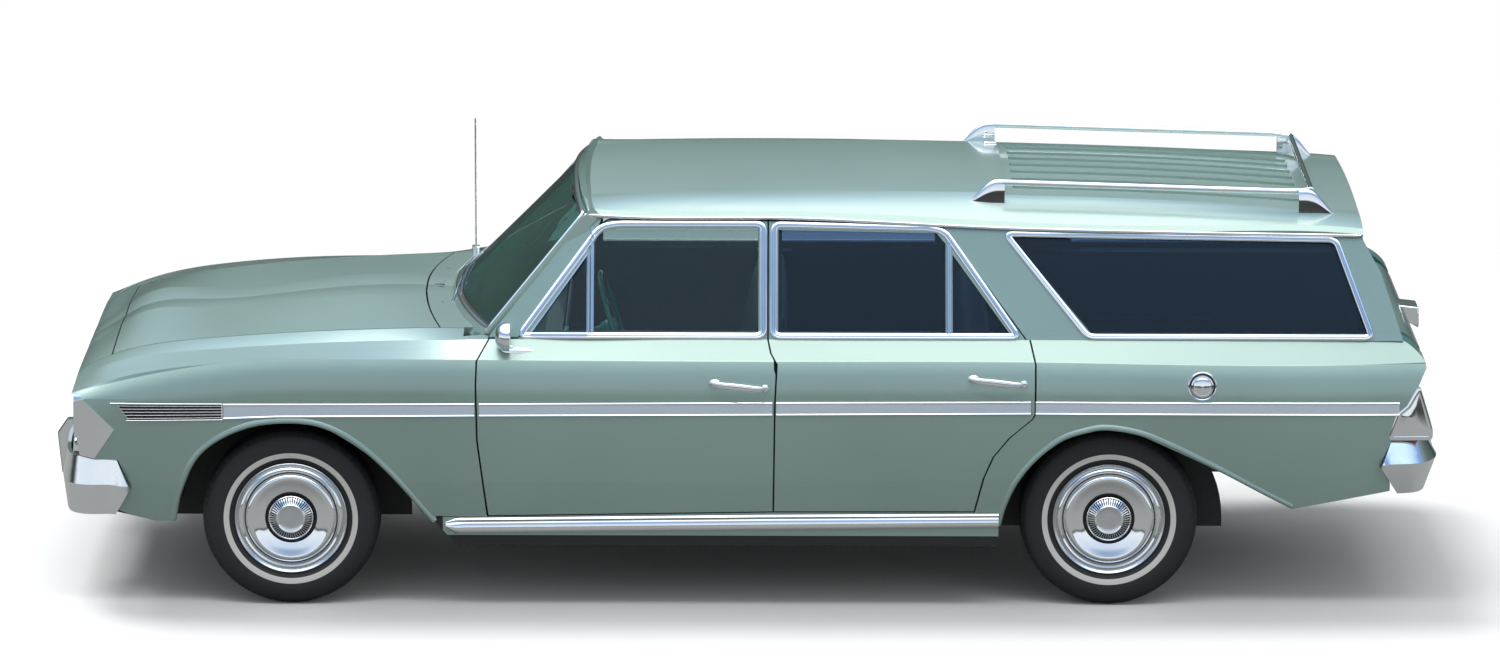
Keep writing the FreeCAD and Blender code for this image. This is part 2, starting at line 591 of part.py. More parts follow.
def front_crossmember():
    """Crossmember with an upper and a lower arm out to each kingpin."""
    kingpin_y = TRACK_FRONT / 2 - KINGPIN_INSET
    pieces = [box(FRONT_AXLE_X - 90.0, FRONT_AXLE_X + 90.0, -BEAM_HALF, BEAM_HALF, 205.0, 290.0)]
    low_z = HUB_Z - KNUCKLE_HALF_HEIGHT - RUNNING_GAP
    high_z = HUB_Z + KNUCKLE_HALF_HEIGHT + RUNNING_GAP
    for side in (-1, 1):
        tip = side * kingpin_y
        y0, y1 = sorted((side * (BEAM_HALF - 40.0), tip))
        t0, t1 = sorted((side * (BEAM_HALF - 40.0), side * (HOUSE_Y_FRONT - HOUSE_WALL)))
        pieces.append(box(FRONT_AXLE_X - 70.0, FRONT_AXLE_X + 70.0, t0, t1, 180.0, TOWER_TOP_Z))
        for z0, z1 in ((low_z - 24.0, low_z), (high_z, high_z + 20.0)):
            pieces.append(box(FRONT_AXLE_X - ARM_R, FRONT_AXLE_X + ARM_R, y0, y1, z0, z1))
            pieces.append(Part.makeCylinder(ARM_R, z1 - z0, V(FRONT_AXLE_X, tip, z0)))
    return fused(pieces)


def rear_axle():
    """Axle tube with its differential, brake drums, stub spindles and leaf springs."""
    centre = V(REAR_AXLE_X, 0.0, HUB_Z)
    tube_end = TRACK_REAR / 2 - 94.0
    tube = rod(V(REAR_AXLE_X, -tube_end, HUB_Z), V(REAR_AXLE_X, tube_end, HUB_Z), AXLE_TUBE_R)
    bulb = lathe([(-110.0, 0.0), (-110.0, 40.0), (-60.0, 110.0), (60.0, 110.0), (110.0, 40.0), (110.0, 0.0)],
                 centre, V(0, 1, 0), V(0, 0, 1))
    pieces = [tube, bulb]
    top = LOAD_Z - FLOOR_T
    for side in (-1, 1):
        cy = side * TRACK_REAR / 2
        pieces.append(across(REAR_AXLE_X, HUB_Z, cy - side * 100.0, cy - side * 40.0, DRUM_R))
        pieces.append(across(REAR_AXLE_X, HUB_Z, cy - side * 50.0, cy + side * SPINDLE_END, SPINDLE_R))
        y = side * (TRACK_REAR / 2 - SPRING_INSET)
        low, high = y - SPRING_HALF, y + SPRING_HALF
        pieces.append(box(REAR_AXLE_X - 12.0, REAR_AXLE_X + 385.0, low, high, HUB_Z - 70.0, HUB_Z - 30.0))
        pieces.append(box(REAR_AXLE_X - 30.0, REAR_AXLE_X + 30.0, low, high, HUB_Z - 70.0, HUB_Z))
        pieces.append(Part.makeCylinder(52.0, top - HUB_Z - 20.0, V(REAR_AXLE_X, y, HUB_Z + 20.0)))
    return fused(pieces)


def underbody():
    """Floor, bulkhead, sills, hinge posts and load floor."""
    r = REAR_AXLE_X
    under = FLOOR_Z - FLOOR_T
    back = BULKHEAD_X + FLOOR_T
    cabin = side_prism([(BULKHEAD_X, 925.0), (BULKHEAD_X, 430.0), (790.0, FLOOR_Z), (r + 397.0, FLOOR_Z),
                        (r + 397.0, under), (800.0, under), (back, 420.0), (back, 925.0)],
                       -POST_OUTER_Y, POST_OUTER_Y)
    notch = box(BULKHEAD_X - 5.0, back + 13.0, COWL_HALF - 4.0, 900.0, 100.0, 1000.0)
    cabin = cabin.cut([notch, mirrored(notch)])
    heel = HOUSE_Y_REAR - HOUSE_WALL
    rear = REAR_PANEL_X + REAR_PANEL_T - r
    load = side_prism(aft([(399.0, FLOOR_Z), (369.0, LOAD_Z), (rear, LOAD_Z), (rear, LOAD_Z - FLOOR_T),
                           (347.0, LOAD_Z - FLOOR_T), (375.0, under), (399.0, under)]), -heel, heel)
    tunnel = end_prism([(-130.0, FLOOR_Z - 2.0), (-95.0, FLOOR_Z + 95.0), (95.0, FLOOR_Z + 95.0),
                        (130.0, FLOOR_Z - 2.0)], -300.0, 850.0)
    sill = side_prism([(1036.0, SILL_BOTTOM_Z + 36.0), (1092.0, SILL_TOP_FRONT_Z - 2.0),
                       (891.0, SILL_TOP_FRONT_Z), (-94.0, 345.0), (r + 465.0, SILL_TOP_REAR_Z),
                       (SILL_REAR_X, SILL_TOP_REAR_Z), (SILL_REAR_X, SILL_BOTTOM_Z),
                       (1000.0, SILL_BOTTOM_Z)], POST_OUTER_Y, SILL_Y)
    post = box(BULKHEAD_X - 95.0, BULKHEAD_X, POST_INNER_Y, POST_OUTER_Y, FLOOR_Z, BELT_Z - 2.0)
    seal = box(887.0, 901.0, POST_OUTER_Y, DOOR_INNER_Y - SEAL_GAP, 430.0, 880.0)
    return fused([cabin, load, tunnel, sill, mirrored(sill), post, mirrored(post), seal, mirrored(seal)])


def centre_post():
    """Post between the doors, leaning in above the belt, with a seal for each door."""
    low = box(-168.0, -40.0, POST_INNER_Y, POST_OUTER_Y, FLOOR_Z, BELT_Z)
    top_z = RAIL_Z + 5.0
    outer = green_y(RAIL_Z) - FRAME_T - 10.0
    lean = end_prism([(POST_OUTER_Y, BELT_Z), (POST_OUTER_Y - FRAME_T, BELT_Z), (outer - FRAME_T, top_z),
                      (outer, top_z)], -125.0, -45.0)
    seals = [box(x - SEAL_HALF, x + SEAL_HALF, POST_OUTER_Y, DOOR_INNER_Y - SEAL_GAP, 400.0, 900.0)
             for x in (-154.0, -64.0)]
    return fused([low, lean] + seals)


def bumper(path, profile, ends):
    """Bar of one profile carried smoothly round a plan path, its ends cut to a side view outline."""
    wires = []
    last = len(path) - 1
    for i, (x, y) in enumerate(path):
        before = path[max(i - 1, 0)]
        after = path[min(i + 1, last)]
        dx, dy = after[0] - before[0], after[1] - before[1]
        size = math.hypot(dx, dy)
        nx, ny = dy / size, -dx / size
        corners = [V(x + nx * d, y + ny * d, z) for d, z in profile]
        wires.append(Part.makePolygon(corners + [corners[0]]))
    return Part.makeLoft(wires, True, False).common(side_prism(ends, -OUT_Y, OUT_Y))


def mirrored_path(half):
    """Plan path from the right end over the middle to the left end."""
    return [(x, -y) for x, y in half] + [(x, y) for x, y in half[-2::-1]]


def front_bumper():
    """Bar that wraps round both wings, two guards and the brackets behind it."""
    half = [(2125.0, 886.0), (2190.0, 885.0), (2260.0, 880.0), (2315.0, 866.0), (2348.0, 832.0),
            (2366.0, 780.0), (2382.0, 640.0), (2392.0, 430.0), (2396.0, 200.0), (2397.0, 0.0)]
    profile = [(-26.0, 540.0), (-14.0, 540.0), (4.0, 441.0), (-10.0, 333.0), (-22.0, 333.0), (-10.0, 441.0)]
    bar = bumper(mirrored_path(half), profile, FRONT_BUMPER_END)
    guard = [(2358.0, 578.0), (2384.0, 578.0), (2418.0, 528.0), (2404.0, 384.0), (2374.0, 384.0)]
    pieces = [bar]
    for side in (-1, 1):
        y0, y1 = sorted((side * 430.0, side * 470.0))
        pieces.append(side_prism(guard, y0, y1))
        y = side * BRACKET_Y
        pieces.append(box(GRILLE_BACK_X, 2386.0, y - BRACKET_HALF, y + BRACKET_HALF, 400.0, 440.0))
    return fused(pieces)


def rear_bumper():
    """Bar that wraps round both quarter panels, with its brackets."""
    half = aft([(-880.0, 882.0), (-960.0, 879.0), (-1030.0, 868.0), (-1075.0, 845.0), (-1102.0, 800.0),
                (-1116.0, 650.0), (-1124.0, 430.0), (-1128.0, 200.0), (-1129.0, 0.0)])
    profile = [(-30.0, 602.0), (-14.0, 602.0), (24.0, 530.0), (-14.0, 417.0), (-26.0, 417.0), (8.0, 530.0)]
    path = [(x, -y) for x, y in mirrored_path(half)]
    bar = bumper(path, profile, aft(REAR_BUMPER_END))
    pieces = [bar]
    for y in (-BRACKET_Y, BRACKET_Y):
        pieces.append(box(REAR_AXLE_X - 1121.0, REAR_PANEL_X, y - BRACKET_HALF, y + BRACKET_HALF,
                          480.0, 520.0))
    return fused(pieces)


def front_panel():
    """Radiator support and valance, with the rubber buffers under the hood."""
    half = HOUSE_Y_FRONT - HOUSE_WALL
    low = WHOLE.translated(V(0, 0, -LID_WALL - SEAL_GAP))
    buffers = [rod(V(2163.0, y, 790.0), V(2163.0, y, 900.0), 12.0).common(low) for y in (-420.0, 420.0)]
    return fused(buffers + [box(2150.0, 2176.0, -half, half, 300.0, 800.0),
                            box(2150.0, 2250.0, -half, half, 300.0, 325.0),
                            box(2236.0, GRILLE_BACK_X, -half, half, 300.0, 527.0)])


def grille():
    """Bright bars in a frame, with posts."""
    front = 2312.0
    rail = 15.0
    pieces = [box(GRILLE_BACK_X, front, -GRILLE_HALF, GRILLE_HALF, GRILLE_LOW_Z, GRILLE_LOW_Z + rail),
              box(GRILLE_BACK_X, front, -GRILLE_HALF, GRILLE_HALF, GRILLE_HIGH_Z - rail, GRILLE_HIGH_Z)]
    first, last = GRILLE_LOW_Z + 27.0, GRILLE_HIGH_Z - 22.0
    for i in range(GRILLE_BARS):
        z = first + i * (last - first) / (GRILLE_BARS - 1)
        pieces.append(box(2275.0, front - 4.0, -GRILLE_HALF, GRILLE_HALF, z - 5.0, z + 5.0))
    post = 12.0
    for share in (-1.0, -0.5, 0.0, 0.5, 1.0):
        y = share * (GRILLE_HALF - post / 2)
        pieces.append(box(GRILLE_BACK_X + 2.0, front - 12.0, y - post / 2, y + post / 2,
                          GRILLE_LOW_Z, GRILLE_HIGH_Z))
    return fused(pieces)


def headlamps():
    """Bezel that wraps round the wing, with two round lamps in cups."""
    block = half_body(3.0).common(side_prism(BEZEL, GRILLE_HALF, OUT_Y))
    cups = [rod(V(2290.0, y, LAMP_Z), V(2400.0, y, LAMP_Z), LAMP_CUP_R) for y in LAMP_COLUMNS]
    lenses = [rod(V(2280.0, y, LAMP_Z), V(2300.0, y, LAMP_Z), LAMP_R) for y in LAMP_COLUMNS]
    lamps = fused([block.cut(cups)] + lenses)
    return Part.makeCompound([lamps, mirrored(lamps)])


def tailgate():
    """Gate that drops on two pins, with its pull handle, and the lugs that carry the pins."""
    outline = TAIL_CREST + [(-1047.0, 780.0), (-1053.0, 640.0), (-1049.0, 622.0), (-997.0, 622.0),
                            (-993.0, 780.0), (-997.0, 868.0), (-973.0, BELT_Z - 8.0)]
    gate = side_prism(aft(outline), -GATE_HALF, GATE_HALF)
    handle = side_prism(aft([(-1065.0, 908.0), (-1133.0, 848.0), (-1131.0, 832.0), (-1075.0, 862.0)]),
                        -60.0, 60.0)
    lugs = []
    slot, lug, reach = 16.0, 10.0, 36.0
    for y in (-GATE_LUG_Y, GATE_LUG_Y):
        gate = gate.cut(box(GATE_PIVOT_X - 100.0, GATE_PIVOT_X + 100.0, y - slot, y + slot,
                            600.0, GATE_PIVOT_Z + 32.0))
        gate = gate.cut(across(GATE_PIVOT_X, GATE_PIVOT_Z, y - reach - 4.0, y + reach + 4.0,
                               GATE_PIN_R + RUNNING_GAP))
        lugs.append(box(GATE_PIVOT_X - lug, GATE_PIVOT_X + lug, y - lug, y + lug, 590.0, GATE_PIVOT_Z + lug))
        lugs.append(across(GATE_PIVOT_X, GATE_PIVOT_Z, y - reach, y + reach, GATE_PIN_R))
    return fused([gate, handle]), lugs


def tail_glass():
    low, high = GATE_HALF - SEAL_GAP, GATE_HALF - SEAL_GAP - GATE_TAPER
    foot = BELT_Z - 2.0
    pane = side_prism(aft([(-1001.0, foot), (-861.0, 1286.0), (-855.0, 1286.0), (-995.0, foot)]),
                      -700.0, 700.0)
    top = TAIL_GLASS_TOP_Z
    trapezium = end_prism([(-low, BELT_Z), (low, BELT_Z), (high, top), (-high, top)],
                          REAR_AXLE_X - 1135.0, REAR_AXLE_X - 735.0)
    return pane.common(trapezium).cut(HULL)


def tail_lamp():
    outline = [(-971.0, 618.0), (-997.0, 700.0), (-1031.0, 728.0), (-1065.0, 790.0), (-1106.0, 644.0),
               (-1106.0, 612.0)]
    return BODY.common(side_prism(aft(outline), GATE_HALF + LAMP_INNER_GAP, OUT_Y))


def front_bench():
    return side_prism([(480.0, 400.0), (500.0, 470.0, 470.0, 520.0), (20.0, 500.0), (-60.0, 960.0),
                       (-90.0, ABOVE_Z, -140.0, 980.0), (-120.0, 420.0), (-100.0, FLOOR_Z), (420.0, FLOOR_Z)],
                      -BENCH_HALF, BENCH_HALF)


def rear_bench():
    return side_prism(aft([(925.0, 420.0), (943.0, 490.0, 915.0, 540.0), (535.0, 520.0), (475.0, 900.0),
                           (450.0, 940.0, 415.0, 920.0), (415.0, LOAD_Z + 10.0), (405.0, FLOOR_Z + 10.0),
                           (405.0, FLOOR_Z), (885.0, FLOOR_Z)]), -BENCH_HALF, BENCH_HALF)


def steering():
    """Steering wheel, and the column that leaves it a running gap."""
    axis = V(-math.cos(STEER_LEAN), 0.0, math.sin(STEER_LEAN))
    side = V(0, 1, 0)
    eight = [math.radians(45.0 * k) for k in range(8)]
    rim = lathe([(STEER_GRIP_R * math.sin(a), STEER_R + STEER_GRIP_R * math.cos(a)) for a in eight],
                STEER_AT, axis, side)
    boss = rod(STEER_AT - axis * 50.0, STEER_AT - axis * 10.0, COLUMN_R + 8.0)
    spokes = [rod(STEER_AT - axis * 22.0, STEER_AT + side * (sign * (STEER_R - 2.0)), 7.0)
              for sign in (-1, 1)]
    column = rod(STEER_AT - axis * (50.0 + RUNNING_GAP), STEER_AT - axis * 330.0, COLUMN_R)
    return fused([rim, boss] + spokes), column


def roof_rack():
    """Two side rails and a rear cross bar on four feet."""
    r = REAR_AXLE_X
    front_z, rear_z = 1443.0, 1411.0
    pieces = []
    for side in (-1, 1):
        y = side * RACK_Y
        pieces.append(rod(V(r + 390.0, y, front_z), V(r - 710.0, y, rear_z), RACK_R))
        pieces.append(rod(V(r + 383.0, y, front_z + 12.0), V(r + 455.0, y, 1340.0), RACK_FOOT_R).cut(HULL))
        pieces.append(rod(V(r - 703.0, y, rear_z + 12.0), V(r - 761.0, y, 1330.0), RACK_FOOT_R).cut(HULL))
    pieces.append(rod(V(r - 710.0, -RACK_Y, rear_z), V(r - 710.0, RACK_Y, rear_z), RACK_R))
    return fused(pieces)


def door_mirror():
    head = rod(V(795.0, 858.0, 975.0), V(850.0, 858.0, 975.0), 40.0)
    stem = rod(V(822.0, 856.0, 940.0), V(790.0, 850.0, 890.0), 10.0)
    foot = box(722.0, 851.0, 832.0, 868.0, 890.0, 924.0)
    return fused([head, stem, foot]).cut(BODY)


def exhaust():
    """Pipe with its silencer under the floor and a hanger at the tail."""
    r = REAR_AXLE_X
    y, z, pipe_r, tip_r = -360.0, 222.0, 21.0, 24.0
    return fused([rod(V(1000.0, y, z), V(r - 910.0, y, z), pipe_r),
                  rod(V(r - 910.0, y, z), V(r - 1085.0, y, z), tip_r),
                  box(r + 565.0, r + 1085.0, y - 110.0, y + 110.0, z - 55.0, FLOOR_Z - FLOOR_T),
                  box(r - 855.0, r - 835.0, y - 20.0, y + 20.0, z, LOAD_Z - FLOOR_T)])


def add(name, shape):
    NODES[name] = shape


def add_pair(name, shape):
    NODES[name + "_left"] = shape
    NODES[name + "_right"] = mirrored(shape)


def build_all():
    add("hood", build_hood())
    add_pair("front_fender", front_fender())
    for name, maker in (("front_door", front_door), ("rear_door", rear_door)):
        door, glass = maker()
        add_pair(name, door)
        add_pair(name + "_glass", glass)
    panel, pane = quarter_panel()
    add_pair("quarter_panel", panel)
    add_pair("quarter_glass", pane)
    add("roof", build_roof())
    cowl, screen = windscreen_and_cowl()
    add("cowl", cowl)
    add("windscreen", screen)
    add_pair("centre_post", centre_post())

    for corner, x, side, track in (("front_left", FRONT_AXLE_X, 1, TRACK_FRONT),
                                   ("front_right", FRONT_AXLE_X, -1, TRACK_FRONT),
                                   ("rear_left", REAR_AXLE_X, 1, TRACK_REAR),
                                   ("rear_right", REAR_AXLE_X, -1, TRACK_REAR)):
        tyre, wheel = wheel_parts(x, side, track)
        add("tyre_" + corner, tyre)
        add("wheel_" + corner, wheel)
    add("knuckle_left", knuckle(1))
    add("knuckle_right", knuckle(-1))
    add("front_crossmember", front_crossmember())
    floor = underbody().cut(cowl)
    add("underbody", floor)
    add("rear_axle", rear_axle().cut(floor))

    nose = side_prism([(2217.0, ABOVE_Z), (2400.0, ABOVE_Z), (2400.0, 757.0), (2262.0, 757.0),
                       (2217.0, 800.0)], -HEADER_HALF, HEADER_HALF)
    add("header_panel", WHOLE.common(nose))
    add("front_panel", front_panel())
    add("grille", grille())
    add("headlamps", headlamps())
    add("front_bumper", front_bumper())

    gate, lugs = tailgate()
    add("tailgate", gate)
    add("tail_glass", tail_glass())
    add_pair("tail_lamp", tail_lamp())
    panel = box(REAR_PANEL_X, REAR_PANEL_X + REAR_PANEL_T, -REAR_PANEL_HALF, REAR_PANEL_HALF, 425.0, LOAD_Z)
    add("rear_panel", fused([panel] + lugs))
    add("rear_bumper", rear_bumper())

    add("front_bench", front_bench().cut(floor))
    add("rear_bench", rear_bench().cut(floor))
    steering_wheel, column = steering()
    add("steering_wheel", steering_wheel)
    dash_half = POST_INNER_Y - 5.0
    dash = side_prism([(BULKHEAD_X, 920.0), (700.0, 926.0), (645.0, 885.0), (655.0, 770.0), (720.0, 705.0),
                       (BULKHEAD_X, 700.0)], -dash_half, dash_half)
    add("dashboard", fused([dash, column]).cut([cowl, NODES["windscreen"], floor]))

    add("engine_block", box(1130.0, 1830.0, -230.0, 230.0, 290.0, 780.0))
    add("exhaust", exhaust())
    add("fuel_tank", box(REAR_AXLE_X - 955.0, REAR_AXLE_X - 455.0, -260.0, 400.0, 380.0, LOAD_Z - FLOOR_T))

    add("roof_rack", roof_rack())
    antenna_x, antenna_y = 986.0, -600.0
    socket = rod(V(antenna_x, antenna_y, 930.0), V(antenna_x, antenna_y, 985.0), 14.0)
    mast = rod(V(antenna_x, antenna_y, 980.0), V(antenna_x, antenna_y, 1456.0), 3.0)
    add("antenna", fused([socket.cut(WHOLE), mast]))
    add("door_mirror", door_mirror())
    cap_x = REAR_AXLE_X - 313.0
    add("fuel_cap", rod(V(cap_x, 860.0, 803.0), V(cap_x, 903.0, 803.0), 50.0).cut(BODY))

    for name, shape in NODES.items():
        print(name, len(shape.Solids), round(shape.Volume / 1e6, 2), shape.isValid())
        shape.exportStep("parts/" + name + ".step")


build_all()
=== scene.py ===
"""Dresses the station wagon: paint, glass, bright trim, wheels, lamps, cabin, studio and camera.

Sizes are millimetres in the car's frame, +X forward, +Y to its left, +Z up, origin on the floor.
They become metres when a mesh is made.
"""
from __future__ import annotations

import json
import logging
import math
from collections.abc import Sequence
from dataclasses import dataclass, field
from enum import Enum

import bmesh
import bpy
import numpy as np
from mathutils import Matrix, Quaternion, Vector

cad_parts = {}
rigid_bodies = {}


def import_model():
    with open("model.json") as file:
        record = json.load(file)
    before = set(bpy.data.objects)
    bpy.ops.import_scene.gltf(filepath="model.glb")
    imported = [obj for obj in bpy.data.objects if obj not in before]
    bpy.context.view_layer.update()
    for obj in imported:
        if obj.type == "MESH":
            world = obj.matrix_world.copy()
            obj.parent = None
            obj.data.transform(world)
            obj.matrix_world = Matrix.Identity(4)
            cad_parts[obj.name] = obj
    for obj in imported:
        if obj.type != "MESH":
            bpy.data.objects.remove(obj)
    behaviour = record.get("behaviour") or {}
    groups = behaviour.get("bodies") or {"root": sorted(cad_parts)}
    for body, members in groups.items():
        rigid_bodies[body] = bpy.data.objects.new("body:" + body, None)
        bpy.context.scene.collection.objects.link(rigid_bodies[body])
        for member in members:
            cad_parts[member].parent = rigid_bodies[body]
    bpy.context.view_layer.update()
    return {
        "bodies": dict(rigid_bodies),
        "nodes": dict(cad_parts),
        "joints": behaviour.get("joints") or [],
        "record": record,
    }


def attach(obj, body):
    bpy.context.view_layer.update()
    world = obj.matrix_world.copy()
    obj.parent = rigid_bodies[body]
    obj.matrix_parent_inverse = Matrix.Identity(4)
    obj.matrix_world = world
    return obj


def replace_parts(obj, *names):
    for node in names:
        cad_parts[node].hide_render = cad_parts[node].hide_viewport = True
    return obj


Points = np.ndarray
Colour = tuple[float, float, float]
Place = tuple[float, float, float]
Outline = tuple[tuple[float, float], ...]
Bands = tuple[tuple[float, Colour], ...]

LOG = logging.getLogger("wagon")
MM = 0.001
SHELL = "body_shell"

# Wheel centres.
FRONT_AXLE_X = 1580.0
REAR_AXLE_X = -1265.0
FRONT_TRACK_Y = 744.0
REAR_TRACK_Y = 730.0
HUB_Z = 310.0

# Plane of the side glass, from the belt line up to the roof rail.
BELT_Z = 948.0
BELT_Y = 812.0
RAIL_Z = 1335.0
RAIL_Y = 655.0
GLASS_LEAN = (BELT_Y - RAIL_Y) / (RAIL_Z - BELT_Z)

AHEAD = (1.0, 0.0, 0.0)
LEFTWARD = (0.0, 1.0, 0.0)
UPWARD = (0.0, 0.0, 1.0)
SCREEN_OUT = (0.70, 0.0, 0.71)

SAGE: Colour = (0.275, 0.395, 0.360)


class Side(Enum):
    """Left or right half of the car, with the sign of its Y."""

    LEFT = 1
    RIGHT = -1

    @property
    def word(self) -> str:
        """The name used in node and body names."""
        return "left" if self is Side.LEFT else "right"


class Wave:
    """A socket of a material, which adds Math nodes when it is used in an expression."""

    def __init__(self, coat: Coat, socket: bpy.types.NodeSocket) -> None:
        """Keep the socket and the material it belongs to.

        Args:
            coat: Material that the Math nodes go into.
            socket: Output socket that carries the value.
        """
        self.coat = coat
        self.socket = socket

    def _math(self, operation: str, first: Wave | float, second: Wave | float | None = None) -> Wave:
        """Add one Math node.

        Args:
            operation: The node's operation.
            first: First value.
            second: Second value, if it takes one.

        Returns:
            The node's result.
        """
        values = {0: first} if second is None else {0: first, 1: second}
        return Wave(self.coat, self.coat.node("ShaderNodeMath", {"operation": operation}, values).outputs[0])

    def __add__(self, other: Wave | float) -> Wave:
        """Sum."""
        return self._math("ADD", self, other)

    def __radd__(self, other: float) -> Wave:
        """Sum with a number on the left."""
        return self._math("ADD", other, self)

    def __sub__(self, other: Wave | float) -> Wave:
        """Difference."""
        return self._math("SUBTRACT", self, other)

    def __rsub__(self, other: float) -> Wave:
        """Difference from a number on the left."""
        return self._math("SUBTRACT", other, self)

    def __mul__(self, other: Wave | float) -> Wave:
        """Product."""
        return self._math("MULTIPLY", self, other)

    def __rmul__(self, other: float) -> Wave:
        """Product with a number on the left."""
        return self._math("MULTIPLY", other, self)

    def __truediv__(self, other: Wave | float) -> Wave:
        """Quotient."""
        return self._math("DIVIDE", self, other)

    def __gt__(self, other: Wave | float) -> Wave:
        """One where this is larger, else nothing."""
        return self._math("GREATER_THAN", self, other)

    def __lt__(self, other: Wave | float) -> Wave:
        """One where this is smaller, else nothing."""
        return self._math("LESS_THAN", self, other)

    def __abs__(self) -> Wave:
        """Size without its sign."""
        return self._math("ABSOLUTE", self)

    def root(self) -> Wave:
        """Square root."""
        return self._math("SQRT", self)

    def sine(self) -> Wave:
        """Sine of the value in radians."""
        return self._math("SINE", self)

    def ramp(self, low: float, high: float) -> Wave:
        """Smooth step from nothing at low to one at high.

        Args:
            low: Value where the step starts.
            high: Value where it ends.

        Returns:
            The step.
        """
        node = self.coat.node("ShaderNodeMapRange", {"interpolation_type": "SMOOTHSTEP"},
                              {"Value": self, "From Min": low, "From Max": high})
        return Wave(self.coat, node.outputs[0])


class Coat:
    """One node tree in the making, of a material or of the world."""

    def __init__(self, name: str, store: bpy.types.bpy_prop_collection | None = None) -> None:
        """Start an empty tree.

        Args:
            name: Name of its owner.
            store: Collection that makes the owner; the materials if none is given.
        """
        self.owner = (bpy.data.materials if store is None else store).new(name)
        self.owner.use_nodes = True
        self.tree = self.owner.node_tree
        self.tree.nodes.clear()

    def node(self, kind: str, settings: dict | None = None, sockets: dict | None = None) -> bpy.types.Node:
        """Add a node.

        Args:
            kind: Node type.
            settings: Settings, set before the sockets.
            sockets: Values or links of its inputs, by name or number.

        Returns:
            The node.
        """
        made = self.tree.nodes.new(kind)
        for key, value in (settings or {}).items():
            setattr(made, key, value)
        for key, value in (sockets or {}).items():
            if isinstance(value, Wave):
                value = value.socket
            if isinstance(value, bpy.types.NodeSocket):
                self.tree.links.new(value, made.inputs[key])
            else:
                made.inputs[key].default_value = value
        return made

    def split(self, socket: bpy.types.NodeSocket) -> tuple[Wave, Wave, Wave]:
        """The three parts of a vector."""
        parts = self.node("ShaderNodeSeparateXYZ", None, {0: socket}).outputs
        return Wave(self, parts[0]), Wave(self, parts[1]), Wave(self, parts[2])

    def place(self) -> tuple[Wave, Wave, Wave]:
        """Object coordinates in metres, one socket for each axis."""
        return self.split(self.node("ShaderNodeTexCoord").outputs["Object"])

    def facing(self) -> tuple[Wave, Wave, Wave]:
        """True normal of the surface, one socket for each axis."""
        return self.split(self.node("ShaderNodeNewGeometry").outputs["True Normal"])

    def noise(self, scale: float, detail: float = 3.0, stretch: Colour = (1.0, 1.0, 1.0)) -> Wave:
        """Cloudy pattern on Object coordinates.

        Args:
            scale: Cells in a metre.
            detail: Octaves.
            stretch: Scale of each axis.

        Returns:
            Pattern from nothing to one.
        """
        where = self.node("ShaderNodeTexCoord")
        turned = self.node("ShaderNodeMapping", None, {0: where.outputs["Object"], "Scale": stretch})
        cloud = self.node("ShaderNodeTexNoise", None,
                          {"Vector": turned.outputs[0], "Scale": scale, "Detail": detail})
        return Wave(self, cloud.outputs[0])

    def blend(self, share: Wave, first: Colour | bpy.types.NodeSocket,
              second: Colour | bpy.types.NodeSocket) -> bpy.types.NodeSocket:
        """Mix two colours.

        Args:
            share: How much of the second colour.
            first: Colour where the share is nothing.
            second: Colour where it is one.

        Returns:
            Colour socket.
        """
        mix = self.node("ShaderNodeMix", {"data_type": "RGBA"})
        self.tree.links.new(share.socket, mix.inputs[0])
        for slot, value in ((6, first), (7, second)):
            if isinstance(value, bpy.types.NodeSocket):
                self.tree.links.new(value, mix.inputs[slot])
            else:
                mix.inputs[slot].default_value = (*value, 1.0)
        return mix.outputs[2]

    def bump(self, height: Wave, distance: float) -> bpy.types.NodeSocket:
        """Normal from a height, of which one stands for the distance in metres."""
        return self.node("ShaderNodeBump", None, {"Height": height, "Distance": distance}).outputs[0]

    def surface(self, sockets: dict) -> bpy.types.Material:
        """Finish the material with a Principled shader.

        Args:
            sockets: Values and links of the shader.

        Returns:
            The material.
        """
        shader = self.node("ShaderNodeBsdfPrincipled")
        for key, value in sockets.items():
            if isinstance(value, Wave):
                value = value.socket
            if isinstance(value, bpy.types.NodeSocket):
                self.tree.links.new(value, shader.inputs[key])
            elif isinstance(value, tuple) and len(value) == 3 and key != "Normal":
                shader.inputs[key].default_value = (*value, 1.0)
            else:
                shader.inputs[key].default_value = value
        self.node("ShaderNodeOutputMaterial", None, {0: shader.outputs[0]})
        return self.owner


class Lining(Enum):
    """What the inner face of a painted panel is finished as."""

    NONE = "plain paint"
    CARD = "door card below the belt"
    HEADLINER = "cloth under the roof"
    WELL = "black underseal round a wheel"
    LOAD = "trim panel beside the load floor"


def shade(colour: Colour, factor: float) -> Colour:
    """The colour made darker or lighter, at most white."""
    return tuple(min(1.0, c * factor) for c in colour)


